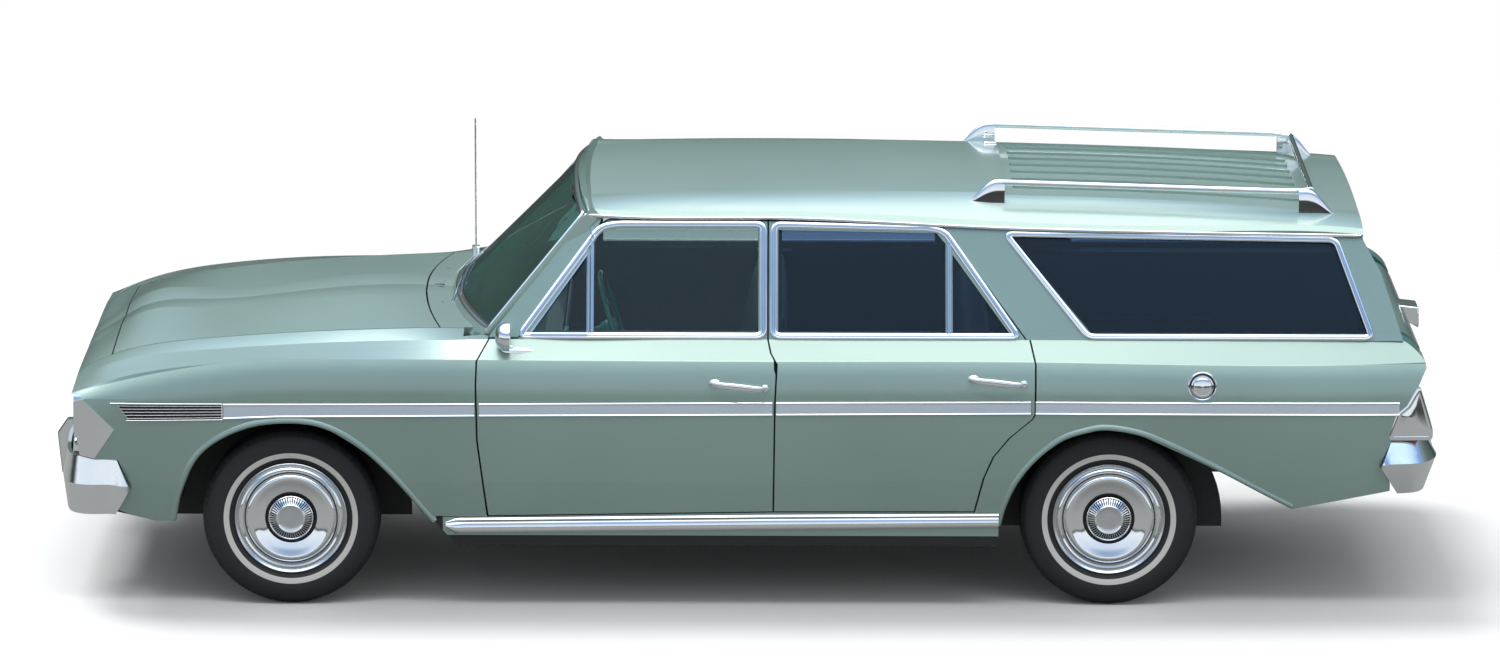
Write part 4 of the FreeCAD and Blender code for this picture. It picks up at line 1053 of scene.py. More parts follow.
@dataclass
class SideMoulding:
    """Silver band between two bright beads, with a black louvre in its front end.

    Each station of its section is a share of the way down the band, a distance out of the flank, and the
    material of the strip below it: 0 for the beads and 1 for the band. Each bead of the louvre is a share of
    the way down and how far it starts ahead of the louvre's front.
    """

    top_x: tuple[float, ...] = (2198.0, 933.0, -91.0, -988.0, -2278.0)
    top_z: tuple[float, ...] = (731.0, 740.0, 747.0, 751.0, 745.0)
    low_x: tuple[float, ...] = (2140.0, 1811.0, 1618.0, 933.0, -92.0, -989.0, -2251.0)
    low_z: tuple[float, ...] = (667.0, 674.0, 684.0, 691.0, 697.0, 703.0, 696.0)
    section: tuple[tuple[float, float, int], ...] = (
        (0.0, -2.0, 0), (0.02, 3.5, 0), (0.07, 5.5, 0), (0.12, 4.5, 0), (0.15, 2.8, 0), (0.16, 2.0, 1),
        (0.5, 2.6, 1), (0.84, 2.0, 0), (0.85, 2.8, 0), (0.88, 4.5, 0), (0.93, 5.5, 0), (0.98, 3.5, 0),
        (1.0, -2.0, 0))
    runs: tuple[tuple[str, float, float], ...] = (
        ("body_shell", 1806.0, 938.0), ("front_{}_door", 921.0, -92.0), ("rear_{}_door", -106.0, -985.0),
        ("body_shell", -1003.0, -2262.0))
    louvre_front: float = 2172.0
    louvre_rear: float = 1811.0
    slant: float = 40.0
    bars: int = 5
    bar_shares: tuple[float, float] = (0.16, 0.84)
    beads: Outline = ((0.03, 26.0), (0.96, -30.0))

    def trace(self, x: Points, share: Points | float, stand: Points | float) -> Points:
        """Points over the flank, between the lines of the moulding's top and bottom.

        Args:
            x: Places along the car.
            share: Share of the way down.
            stand: Distance out of the flank.

        Returns:
            Array of points.
        """
        top = np.interp(-x, -np.array(self.top_x), self.top_z)
        low = np.interp(-x, -np.array(self.low_x), self.low_z)
        z = top + share * (low - top)
        return sheet(x, Flank.y(x, z) + stand, z)

    def front(self, share: Points | float) -> Points | float:
        """Front end of the louvre, which slants back on the way down."""
        return self.louvre_front - self.slant * (share - 0.1) / 0.8

    def band(self, name: str, x0: float, x1: float) -> Piece:
        """One run of the moulding, with a return into the body at each end.

        Args:
            name: Name of the piece.
            x0: Front end.
            x1: Rear end.

        Returns:
            The piece.
        """
        share, out, marks = np.array(self.section).T
        points = self.trace(np.linspace(x0, x1, 40)[:, None], share, out)
        back = points.copy()
        back[..., 1] = points[..., 1].min() - 1.0
        piece = Piece(name).grid(points, mark=marks[:-1].astype(int))
        piece.grid(np.stack([points[0], back[0]]))
        return piece.grid(np.stack([back[-1], points[-1]]))

    def louvre(self, side: Side, palette: Palette) -> None:
        """Black insert with bright bars between two beads, cut off at a slant in front.

        Args:
            side: Side of the car.
            palette: The finishes.
        """
        down = np.linspace(0.10, 0.90, 9)
        front = self.front(down)
        x = front + np.linspace(0.0, 1.0, 12)[:, None] * (self.louvre_rear - 4.0 - front)
        black = Piece(f"louvre_{side.word}").grid(self.trace(x, down, 3.0))
        black.make(SHELL, "paint", [palette.ink], side=side)
        bars = Piece(f"louvre_bars_{side.word}")
        for share in np.linspace(*self.bar_shares, self.bars):
            x = np.linspace(self.front(share) + 4.0, self.louvre_rear - 2.0, 14)
            bars.tube(bead(2.2, 2.4), self.trace(x, share, 2.6), LEFTWARD, shut=False, ends=False)
        for share, lead in self.beads:
            x = np.linspace(self.louvre_front + lead, self.louvre_rear - 2.0, 16)
            bars.tube(bead(5.0, 6.0), self.trace(x, share, 0.0), LEFTWARD, shut=False, ends=False)
        x = np.array([self.louvre_rear + 2.0, self.louvre_rear - 6.0])[:, None]
        bars.grid(self.trace(x, np.linspace(0.0, 1.0, 5), 4.0))
        bars.make(SHELL, "chrome", [palette.satin], side=side)

    def build(self, palette: Palette) -> None:
        """Both sides of the moulding.

        Args:
            palette: The finishes.
        """
        for side in Side:
            for i, (body, x0, x1) in enumerate(self.runs):
                piece = self.band(f"side_moulding_{i}_{side.word}", x0, x1)
                piece.make(body.format(side.word), "chrome", [palette.chrome, palette.silver], side=side)
            self.louvre(side, palette)


@dataclass
class SillMoulding:
    """Bright moulding along the foot of the doors: a crowned lower face, a groove, and a rounded upper bead.

    Each station of its section is a share of the way down and a distance out of the sill.
    """

    x: tuple[float, ...] = (1040.0, 1023.0, -60.0, -879.0)
    top: tuple[float, ...] = (312.0, 326.0, 340.0, 346.0)
    low: tuple[float, ...] = (292.0, 266.0, 280.0, 292.0)
    sill_y: float = 868.0
    stand: float = 3.0
    section: Outline = (
        (0.0, -6.0), (0.04, 5.0), (0.14, 9.0), (0.24, 6.0), (0.30, 2.0), (0.34, 4.0), (0.55, 8.0),
        (0.80, 9.0), (0.95, 4.0), (1.0, -8.0))

    def build(self, palette: Palette) -> None:
        """Both mouldings.

        Args:
            palette: The finishes.
        """
        x = np.linspace(self.x[0], self.x[-1], 60)[:, None]
        top, low = (np.interp(-x, -np.array(self.x), row) for row in (self.top, self.low))
        share, out = np.array(self.section).T
        points = sheet(x, self.sill_y + self.stand + out, top + share * (low - top))
        for side in Side:
            piece = Piece(f"sill_moulding_{side.word}").grid(points).caps(points)
            piece.make(SHELL, "chrome", [palette.chrome], side=side)


@dataclass
class ArchLips:
    """Rolled painted lips round the wheel arches, as half-round flanges carried along side view outlines."""

    front: Outline = (
        (1979.0, 310.0), (1958.0, 410.0), (1905.0, 530.0), (1822.0, 604.0), (1700.0, 654.0), (1559.0, 666.0),
        (1448.0, 645.0), (1338.0, 582.0), (1227.0, 478.0), (1116.0, 344.0), (1085.0, 305.0))
    rear: Outline = (
        (-885.0, 300.0), (-903.0, 371.0), (-943.0, 460.0), (-1010.0, 545.0), (-1097.0, 612.0),
        (-1187.0, 642.0), (-1253.0, 650.0), (-1364.0, 631.0), (-1474.0, 586.0), (-1584.0, 531.0),
        (-1675.0, 484.0), (-1787.0, 422.0), (-1895.0, 364.0))
    width: float = 26.0
    proud: float = 9.0

    def build(self, palette: Palette) -> None:
        """Four lips.

        Args:
            palette: The finishes.
        """
        t = np.linspace(0.0, 1.0, 9)
        profile = np.column_stack([self.width * (t - 0.12), self.proud * np.sin(np.pi * t ** 0.6) - 3.0])
        for word, outline in (("front", self.front), ("rear", self.rear)):
            path = on_flank(smooth_path(outline, 6))
            for side in Side:
                piece = Piece(f"{word}_arch_lip_{side.word}")
                piece.tube(profile, path, LEFTWARD, shut=False, ends=False)
                piece.make(SHELL, "paint", [palette.paint], side=side)


@dataclass(frozen=True)
class Strip:
    """Bright strip of a window: a straight post between two side view corners, or a frame round more."""

    name: str
    body: str
    width: float
    corners: Outline
    radius: float = 26.0

    def build(self, side: Side, palette: Palette) -> None:
        """The strip, rolled with two beads and a groove between them, on the side glass plane.

        Args:
            side: Side of the car.
            palette: The finishes.
        """
        half = self.width / 2
        section = np.array([
            (-half, -3.0), (-half, 3.5), (-half * 0.75, 6.0), (-half * 0.40, 6.2), (-half * 0.22, 3.0),
            (half * 0.10, 3.0), (half * 0.28, 7.2), (half * 0.72, 7.2), (half, 4.0), (half, -3.0)])
        closed = len(self.corners) > 2
        outline = rounded(self.corners, self.radius) if closed else np.array(self.corners)
        piece = Piece(f"{self.name}_{side.word}")
        piece.tube(section, on_glass(outline), GLASS_OUT, closed=closed)
        piece.make(self.body.format(side.word), "chrome", [palette.chrome], side=side, smooth=50.0)


@dataclass
class WindowFrames:
    """Bright frames and posts of the side windows, and the drip rails over them."""

    strips: tuple[Strip, ...] = (
        Strip("front_door_frame", "front_{}_door", 24.0,
              ((783.0, 957.0), (506.0, 1313.0), (446.0, 1324.0), (-62.0, 1324.0), (-62.0, 957.0))),
        Strip("vent_frame", "front_{}_door", 10.0, ((748.0, 964.0), (545.0, 1232.0), (545.0, 964.0)), 8.0),
        Strip("vent_post", "front_{}_door", 13.0, ((532.0, 964.0), (532.0, 1312.0))),
        Strip("rear_door_frame", "rear_{}_door", 24.0,
              ((-95.0, 957.0), (-95.0, 1323.0), (-640.0, 1312.0), (-690.0, 1300.0), (-944.0, 957.0))),
        Strip("rear_post", "rear_{}_door", 16.0, ((-704.0, 962.0), (-704.0, 1266.0))),
        Strip("quarter_frame", SHELL, 22.0,
              ((-1184.0, 958.0), (-900.0, 1294.0), (-2046.0, 1278.0), (-2168.0, 958.0))),
    )
    rail_x: tuple[float, ...] = (560.0, 533.0, 300.0, -200.0, -880.0, -1500.0, -2060.0, -2132.0)
    rail_z: tuple[float, ...] = (1353.0, 1353.0, 1345.0, 1344.0, 1315.0, 1302.0, 1294.0, 1293.5)
    rail_stand: float = 13.0

    def build(self, palette: Palette) -> None:
        """Strips and drip rail of both sides.

        Args:
            palette: The finishes.
        """
        for side in Side:
            for strip in self.strips:
                strip.build(side, palette)
            self.drip(side, palette)

    def drip(self, side: Side, palette: Palette) -> None:
        """Bright cap on the drip rail, from the screen to the tail.

        Args:
            side: Side of the car.
            palette: The finishes.
        """
        z = np.array(self.rail_z)
        path = smooth_path(sheet(np.array(self.rail_x), glass_y(z) + self.rail_stand, z), 6)
        t = np.linspace(-0.5 * np.pi, 0.5 * np.pi, 9)
        piece = Piece(f"drip_rail_{side.word}")
        piece.tube(np.column_stack([5.5 * np.sin(t), 4.0 * np.cos(t) - 1.0]), path, LEFTWARD)
        piece.make(SHELL, "chrome", [palette.chrome], side=side)


@dataclass
class Screen:
    """Bright surround and rubber of the windscreen, the wipers, and the painted shade of the vent slots in
    the cowl.
    """

    base: tuple[tuple[float, ...], ...] = ((893.0, -738.0, 948.0), (1033.0, 0.0, 966.0))
    head: tuple[tuple[float, ...], ...] = ((556.0, -632.0, 1352.0), (594.0, 0.0, 1392.0))
    middle: Place = (780.0, 0.0, 1160.0)
    wipers: tuple[tuple[str, float, float, float], ...] = (
        ("wiper_left", 300.0, 250.0, -170.0), ("wiper_right", -215.0, -250.0, -610.0))
    span: float = 0.975
    inset: tuple[float, float] = (0.022, 0.018)
    splay: float = 0.35
    rubber_share: float = 0.978
    slots: int = 13
    slot_x: float = 1098.0
    slot_y: tuple[float, float] = (-300.0, 276.0)
    slot_low: Place = (-22.0, -3.0, -4.0)
    slot_high: Place = (14.0, 3.0, 2.0)
    ridge_x: Place = (975.0, 1108.0, 1578.0)
    ridge_z: Place = (957.0, 967.0, 947.0)

    @staticmethod
    def bow(end: tuple[float, ...], middle: tuple[float, ...], share: Points) -> Points:
        """Bow between an end and its mirror image: middle + (end - middle) s^2, with y running evenly.

        Args:
            end: Right end.
            middle: Point on the centreline.
            share: Place from one at the left end to minus one at the right.

        Returns:
            Array (n, 3).
        """
        end, middle = np.array(end), np.array(middle)
        points = middle + (end - middle) * share[:, None] ** 2
        points[:, 1] = -end[1] * share
        return points

    def on_screen(self, y: Points, height: Points, stand: float) -> Points:
        """Points in front of the glass, which is ruled between the bows of its base and its head.

        Args:
            y: Places across the car.
            height: Share of the way up the glass.
            stand: Distance out of the glass.

        Returns:
            Array (n, 3).
        """
        low, high = (self.bow(end, middle, -y / end[1]) for end, middle in (self.base, self.head))
        return low + (high - low) * height[:, None] + unit(SCREEN_OUT) * stand

    def build(self, palette: Palette) -> None:
        """Surround, rubber, wipers and vent.

        Args:
            palette: The finishes.
        """
        share = np.linspace(-self.span, self.span, 41)
        low, high = self.bow(*self.base, share), self.bow(*self.head, share)
        low, high = low + (high - low) * self.inset[0], high + (low - high) * self.inset[1]
        t = np.linspace(0.0, 1.0, 20, endpoint=False)[1:, None]
        loop = np.vstack([low, low[-1] + (high[-1] - low[-1]) * t, high[::-1],
                          high[0] + (low[0] - high[0]) * t])
        out, middle = unit(SCREEN_OUT), np.array(self.middle)
        lean = unit(out + self.splay * unit(loop - middle) * LEFTWARD)
        surround = Piece("screen_surround")
        surround.tube(chamfered(9.0, 5.0, (-2.0, 5.0, 8.5)), loop + out * 4.0, lean, closed=True)
        surround.make(SHELL, "chrome", [palette.chrome], smooth=50.0)
        rubber = Piece("screen_rubber")
        rubber.tube(np.array([(-9.0, -1.0), (-9.0, 3.5), (9.0, 4.5), (9.0, -1.0)]),
                    middle + (loop - middle) * self.rubber_share + out * 1.5, lean, closed=True)
        rubber.make(SHELL, "trim", [palette.rubber])
        for name, pivot, inner, outer in self.wipers:
            self.wiper(name, pivot, inner, outer, palette)
        self.vent(palette)

    def wiper(self, name: str, pivot: float, inner: float, outer: float, palette: Palette) -> None:
        """Boss, blade and arm of one wiper, parked low on the glass.

        Args:
            name: Name of the piece.
            pivot: Where its spindle stands on the cowl, across the car.
            inner: First end of the blade.
            outer: Second end of the blade.
            palette: The finishes.
        """
        piece = Piece(name)
        boss = self.on_screen(np.array([pivot]), np.array([-0.05]), 2.0)[0]
        piece.lathe(np.array([(-8.0, 0.0), (-8.0, 13.0), (8.0, 12.0), (13.0, 8.0), (15.0, 0.0)]), boss,
                    (0.35, 0.0, 0.93), 20)
        blade = self.on_screen(np.linspace(inner, outer, 12), np.linspace(0.035, 0.115, 12), 6.0)
        piece.tube(slab(2.0, -4.0, 3.0), blade, SCREEN_OUT)
        arm = self.on_screen(np.linspace(pivot, (inner + outer) / 2, 8), np.linspace(-0.05, 0.075, 8), 13.0)
        piece.tube(slab(4.0, -1.5, 1.5), arm, SCREEN_OUT)
        piece.make(SHELL, "chrome", [palette.satin], bevel=0.8)

    def vent(self, palette: Palette) -> None:
        """Flat black boxes as painted shade in the slots of the air intake, in a bow along the cowl between
        the wipers.

        Args:
            palette: The finishes.
        """
        piece = Piece("cowl_vent_painted_shade")
        for y in np.linspace(*self.slot_y, self.slots):
            x = self.slot_x - 40.0 * (y / 620.0) ** 2
            z = np.interp(x, self.ridge_x, self.ridge_z) - 2.0 - 0.01 * abs(y)
            middle = np.array([x, y, z])
            # Each slot is a flush black box: painted shade where the intake opens.
            piece.box(middle + self.slot_low, middle + self.slot_high)
        piece.make(SHELL, "paint", [palette.ink], bevel=0.6)


@dataclass
class Wheel:
    """One road wheel: tyre with tread and white ring, rim, and the fluted bright cover.

    Each station of a section is a place along the axle, outwards from the hub, and a radius.
    """

    corner: str
    x: float
    y: float
    tyre_steps: int = 288
    tyre_radius: float = 309.8
    wall: Outline = (
        (68.0, 178.0), (76.0, 196.0), (88.0, 222.0), (92.0, 246.0), (89.0, 270.0), (80.0, 292.0),
        (67.0, 303.5), (50.0, 307.5))
    grooves: tuple[float, ...] = (-48.0, -24.0, 0.0, 24.0, 46.0)
    groove_depth: float = 6.5
    groove_width: float = 2.6
    zigzag: float = 3.2
    lugs: int = 72
    lug_depth: float = 3.0
    lug_share: float = 0.28
    lug_place: float = 62.0
    lug_radius: float = 294.0
    rim: Outline = (
        (-76.0, 150.0), (-76.0, 178.0), (-78.0, 193.0), (-73.0, 195.0), (-66.0, 180.0), (-20.0, 168.0),
        (30.0, 168.0), (60.0, 176.0), (72.0, 182.0), (77.0, 192.0), (82.0, 195.5), (84.0, 193.0),
        (80.0, 187.0), (72.0, 176.0), (40.0, 150.0), (20.0, 100.0), (20.0, 30.0), (-30.0, 30.0),
        (-30.0, 150.0), (-76.0, 150.0))
    plate: Outline = (
        (70.0, 183.0), (77.0, 184.0), (83.0, 180.5), (86.0, 174.0), (84.0, 168.0), (78.0, 164.0),
        (73.0, 161.0), (73.0, 158.5), (80.0, 154.0), (85.0, 148.0), (86.0, 141.0), (84.0, 134.0),
        (79.0, 122.0), (74.0, 106.0), (71.0, 94.0), (70.0, 90.5), (60.0, 89.5), (60.0, 80.5), (74.0, 79.5),
        (80.0, 78.0), (81.5, 76.0), (80.5, 73.5), (80.0, 73.0), (82.0, 71.5), (87.5, 61.0), (93.0, 50.5),
        (94.5, 48.5), (94.0, 46.0), (92.5, 43.0), (92.8, 24.0), (93.4, 8.0), (93.5, 0.02))
    flutes: int = 50
    flute_steps: int = 6
    flute_depth: float = 6.0
    flute_radii: tuple[float, float] = (52.0, 72.0)

    @property
    def sign(self) -> float:
        """Which way is out."""
        return math.copysign(1.0, self.y)

    def turned(self, place: Points, radius: Points, steps: int) -> Points:
        """Points round the hub: x + r cos t, y + a outwards, z + r sin t.

        Args:
            place: Places along the axle.
            radius: Radii.
            steps: Points round.

        Returns:
            Array (steps, stations, 3).
        """
        turn = np.linspace(0.0, 2 * np.pi, steps, endpoint=False)[:, None]
        across = self.y + self.sign * place
        return sheet(self.x + radius * np.cos(turn), across, HUB_Z + radius * np.sin(turn))

    def tread(self) -> Points:
        """Tyre surface over angle and cross section.

        The section is a smooth curve through fixed stations. The radius drops by the groove depth close to
        each groove, which zigzags with the angle, and by the lug depth at notches of the shoulders.

        Returns:
            Array (steps, stations, 3).
        """
        half = np.array(self.wall)
        section = smooth_path(np.vstack([half * (-1.0, 1.0), [(0.0, self.tyre_radius)], half[::-1]]), 7)
        place, radius = section.T
        turn = np.linspace(0.0, 2 * np.pi, self.tyre_steps, endpoint=False)[:, None]
        phase = turn * self.lugs / (2 * np.pi)
        zig = self.zigzag * np.abs(phase % 2.0 - 1.0)
        groove = sum(np.exp(-((place - at - zig) / self.groove_width) ** 2) for at in self.grooves)
        outer = (np.abs(place) > self.lug_place) * (radius > self.lug_radius)
        shoulder = outer * (phase % 1.0 < self.lug_share)
        depth = self.groove_depth * np.clip(groove, 0, 1) * (np.abs(place) < 60.0) + self.lug_depth * shoulder
        return self.turned(place, radius - depth, self.tyre_steps)

    def cover(self) -> Piece:
        """Bright cover: rolled edge, ring, dished plate, black well, and a cap with radial flutes.

        The plate is a revolved profile. On the slope of the cap each flute has two of its steps sunk, and
        three of them black.

        Returns:
            The piece, with the materials bright, black and satin.
        """
        black, satin = 1, 2
        place, radius = np.array(self.plate).T
        steps = self.flutes * self.flute_steps
        phase = np.arange(steps)[:, None] % self.flute_steps
        bands = np.zeros((steps, len(self.plate) - 1), int)
        bands[:, 6] = black
        bands[:, 15:18] = black
        bands[:, 23:25] = black * (phase < 3)
        bands[:, 28:] = satin
        low, high = self.flute_radii
        sunk = self.flute_depth * ((phase > 0) & (phase < 3) & (radius < high) & (radius > low))
        points = self.turned(place - sunk, radius, steps)
        return Piece(f"wheel_cover_{self.corner}").grid(points, True, False, bands)

    def build(self, palette: Palette) -> None:
        """Tyre, rim and cover.

        Args:
            palette: The finishes.
        """
        body = f"{self.corner}_wheel"
        hub = np.array([self.x, self.y, HUB_Z])
        tyre = Piece(f"tread_tyre_{self.corner}").grid(self.tread(), True, True)
        rubber = TyreRubber(f"tyre rubber {self.corner}", tuple(hub * MM)).make()
        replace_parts(tyre.make(body, "tyre", [rubber], smooth=60.0), f"tyre_{self.corner}")
        rim = Piece(f"rim_{self.corner}").lathe(np.array(self.rim), hub, (0.0, self.sign, 0.0), 96)
        made = rim.make(body, "wheel", [palette.satin], smooth=50.0)
        self.cover().make(body, "wheel", [palette.chrome, palette.black, palette.satin], smooth=35.0)
        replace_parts(made, f"wheel_{self.corner}")


@dataclass
class WheelHouses:
    """Black liners behind the tyres: an upright plate inboard of each, with the shape of the arch."""

    reach: float = 405.0
    front_reach: float = 475.0
    height: float = 400.0
    spring_z: float = 270.0
    foot_z: float = 236.0
    front_y: float = 466.6
    rear_y: float = 604.0
    thick: float = 1.6

    def build(self, palette: Palette) -> None:
        """Four liners.

        The plate's rim is (reach cos t, height sin t) over half a turn, above a flat foot, with a longer
        reach ahead of a front wheel.

        Args:
            palette: The finishes.
        """
        t = np.linspace(0.0, np.pi, 33)
        for side in Side:
            for word, x, y, ahead in (("front", FRONT_AXLE_X, self.front_y, self.front_reach),
                                      ("rear", REAR_AXLE_X, self.rear_y, self.reach)):
                reach = np.where(t < 0.5 * np.pi, ahead, self.reach)
                rim = sheet(x + reach * np.cos(t), y, self.spring_z + self.height * np.sin(t))
                ring = np.vstack([rim, [(x - self.reach, y, self.foot_z), (x + ahead, y, self.foot_z)]])
                inner = ring - (0.0, self.thick, 0.0)
                piece = Piece(f"{word}_liner_{side.word}").grid(np.stack([ring, inner]), False, True)
                piece.fan(ring).fan(inner[::-1])
                piece.make(SHELL, "chassis", [palette.chassis], side=side)


@dataclass
class FuelCap:
    """Bright domed filler cap in a dished ring on the left side."""

    x: float = -1578.0
    z: float = 803.0
    radius: float = 50.0
    axis: Place = (0.0, 1.0, 0.08)

    def build(self, palette: Palette) -> None:
        """The cap, revolved about an axis square to the skin.

        Args:
            palette: The finishes.
        """
        r = self.radius
        profile = np.array([
            (-6.0, r), (2.5, r), (4.0, r - 2.0), (3.0, r - 5.0), (0.5, r - 7.5), (0.5, r - 9.0),
            (5.0, r - 10.0), (9.0, r - 12.0), (10.5, r - 16.0), (10.0, r - 19.0), (12.0, r - 22.0),
            (14.5, r - 30.0), (16.0, r - 40.0), (16.5, 0.02)])
        marks = np.zeros(len(profile) - 1, int)
        marks[3:5] = 1
        piece = Piece("filler_cap")
        piece.lathe(profile, on_flank(np.array([(self.x, self.z)]))[0], self.axis, 64, marks)
        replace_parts(piece.make(SHELL, "chrome", [palette.chrome, palette.black], smooth=35.0), "fuel_cap")


@dataclass
class Mirror:
    """Round door mirror: domed head, glass at the rear, short stem and teardrop foot."""

    head: Place = (815.0, 856.0, 964.0)
    radius: float = 50.0
    depth: float = 52.0
    foot_x: tuple[float, float] = (722.0, 851.0)
    foot_y: float = 848.0
    foot_z: float = 909.0
    foot_wide: float = 30.0
    foot_rise: float = 1.15
    stem: tuple[Place, ...] = ((806.0, 848.0, 915.0), (818.0, 850.0, 931.0), (832.0, 855.0, 934.0))
    stem_radii: tuple[float, float] = (15.0, 9.0)

    def build(self, palette: Palette) -> None:
        """Head by a revolve, foot as half of a teardrop, stem by a smooth loft.

        The foot's half width at share s of its length is 30 s^0.55 (1 - s)^0.42, and its height over that
        plan is the half width times 1.15 and the sine of the angle round it.

        Args:
            palette: The finishes.
        """
        r, d = self.radius, self.depth
        t = np.linspace(0.0, 0.5 * np.pi, 12)
        dome = np.column_stack([10.0 + (d - 10.0) * np.sin(t), r * np.cos(t) ** 0.8 + 0.02])
        shell = np.vstack([[(2.0, 0.02), (2.0, r - 5.0), (0.0, r - 4.0), (0.0, r - 1.0), (3.0, r)], dome])
        marks = np.zeros(len(shell) - 1, int)
        marks[0] = 1
        piece = Piece("mirror_head").lathe(shell, self.head, AHEAD, 48, marks)
        x0, x1 = self.foot_x
        s = np.linspace(0.0, 1.0, 24)[:, None]
        turn = np.linspace(0.0, np.pi, 13)
        wide = self.foot_wide * s ** 0.55 * (1.0 - s) ** 0.42 + 0.02
        piece.grid(sheet(x0 + (x1 - x0) * s, self.foot_y + wide * np.cos(turn),
                         self.foot_z + self.foot_rise * wide * np.sin(turn)))
        stem = smooth_path(self.stem, 6)
        width = np.linspace(*self.stem_radii, len(stem))[:, None]
        across, along = circle(1.0, 16).T
        piece.grid(stem[:, None] + sheet(across * width, 0.7 * along * width, 0.0), False, True)
        made = piece.make("front_left_door", "chrome", [palette.chrome, palette.mirror])
        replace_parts(made, "door_mirror")


@dataclass
class Handles:
    """Door pulls: a bowed grip between two oval feet.

    Each place is a body and the grip's middle in side view. Each foot is a share of the half length and its
    own length. Each row of a foot is a height and a share of its width.
    """

    places: tuple[tuple[str, float, float], ...] = (
        ("front_{}_door", 28.0, 803.0), ("rear_{}_door", -866.0, 819.0))
    length: float = 190.0
    rise: float = 10.0
    stand: float = 30.0
    bow: float = 24.0
    thick: float = 5.0
    feet: Outline = ((-1.0, 24.0), (0.82, 34.0))
    foot_wide: float = 14.0
    foot_rows: Outline = ((-2.0, 1.0), (3.0, 1.0), (6.0, 0.85), (7.5, 0.5), (8.0, 0.02))

    def foot(self, place: Points, length: float) -> Points:
        """One foot: an oval that closes towards its top.

        Args:
            place: Point on the door.
            length: Length of the foot.

        Returns:
            Array (20, rows, 3).
        """
        out, share = np.array(self.foot_rows).T
        along, up = np.split(circle(1.0, 20), 2, 1)
        return place + sheet(share * along * length * 0.6, out, share * up * self.foot_wide)

    def build(self, palette: Palette) -> None:
        """Four handles.

        Args:
            palette: The finishes.
        """
        half = self.length / 2
        s = np.linspace(-1.0, 1.0, 25)
        wide = (7.0 + 5.0 * (1 - s ** 2))[:, None]
        across, out = circle(1.0, 14).T
        section = sheet(0.0, self.thick * out, across * wide)
        for side in Side:
            for body, x, z in self.places:
                name = body.format(side.word)
                outline = np.column_stack([x + half * s, z + self.rise * s])
                rings = on_flank(outline, self.stand - self.bow * s ** 4)[:, None] + section
                piece = Piece(f"pull_{name}").grid(rings, False, True).caps(rings)
                for share, length in self.feet:
                    place = on_flank(np.array([(x + half * share, z + self.rise * share)]))[0]
                    piece.grid(self.foot(place, length), True, False)
                piece.make(name, "chrome", [palette.chrome], side=side)


@dataclass
class Nose:
    """Sealed beams, fine grille bars with the dark behind them, and the bumper guards' rubbers."""

    beam_x: float = 2300.0
    beam_y: tuple[float, float] = (548.0, 740.0)
    beam_z: float = 645.0
    beam_r: float = 74.0
    bead: Outline = (
        (0.0, 72.0), (9.0, 73.0), (12.0, 78.0), (27.0, 82.0), (31.0, 88.0), (28.0, 93.0), (6.0, 95.0),
        (0.0, 84.0), (0.0, 72.0))
    bars: int = 15
    bar_x: float = 2302.0
    bar_y: float = 452.0
    bar_z: tuple[float, float] = (566.0, 736.0)
    guard: tuple[Place, ...] = (
        (2385.0, 450.0, 577.0), (2419.0, 450.0, 528.0), (2405.0, 450.0, 386.0))
    guard_out: tuple[Place, ...] = ((0.82, 0.0, 0.57), (1.0, 0.0, 0.15), (0.995, 0.0, -0.10))
    shadow: tuple[Place, Place] = ((2256.0, -455.0, 548.0), (2262.0, 455.0, 750.0))

    def lamps(self, palette: Palette) -> None:
        """Four sealed beams, each a crowned fluted lens in a stepped ring.

        Args:
            palette: The finishes.
        """
        r = np.linspace(self.beam_r, 0.02, 12)
        dome = np.column_stack([2.0 + 14.0 * (1 - (r / self.beam_r) ** 2), r])
        for side in Side:
            for i, y in enumerate(self.beam_y):
                centre = np.array([self.beam_x, side.value * y, self.beam_z])
                lens = Piece(f"beam_{i}_{side.word}").lathe(dome, centre, AHEAD, 48)
                lens.make(SHELL, "glass", [palette.lamp])
                ring = Piece(f"beam_ring_{i}_{side.word}").lathe(np.array(self.bead), centre, AHEAD)
                ring.make(SHELL, "chrome", [palette.chrome])

    def build(self, palette: Palette) -> None:
        """Everything at the nose.

        Args:
            palette: The finishes.
        """
        self.lamps(palette)
        blade = np.array([(-2.2, -14.0), (-2.6, 6.0), (0.0, 9.0), (2.6, 6.0), (2.2, -14.0)])
        bars = Piece("grille_fine_bars")
        for z in np.linspace(*self.bar_z, self.bars):
            bars.tube(blade, np.array([(self.bar_x, -self.bar_y, z), (self.bar_x, self.bar_y, z)]), AHEAD)
        bars.make(SHELL, "chrome", [palette.chrome])
        back = Piece("grille_shadow").box(*self.shadow)
        back.make(SHELL, "chassis", [palette.black])
        section = np.array([(-17.0, -4.0), (-16.0, 2.0), (16.0, 2.0), (17.0, -4.0)])
        for side in Side:
            rubber = Piece(f"guard_rubber_{side.word}")
            rubber.tube(section, np.array(self.guard), np.array(self.guard_out))
            rubber.make(SHELL, "tyre", [palette.rubber], bevel=1.0, side=side)


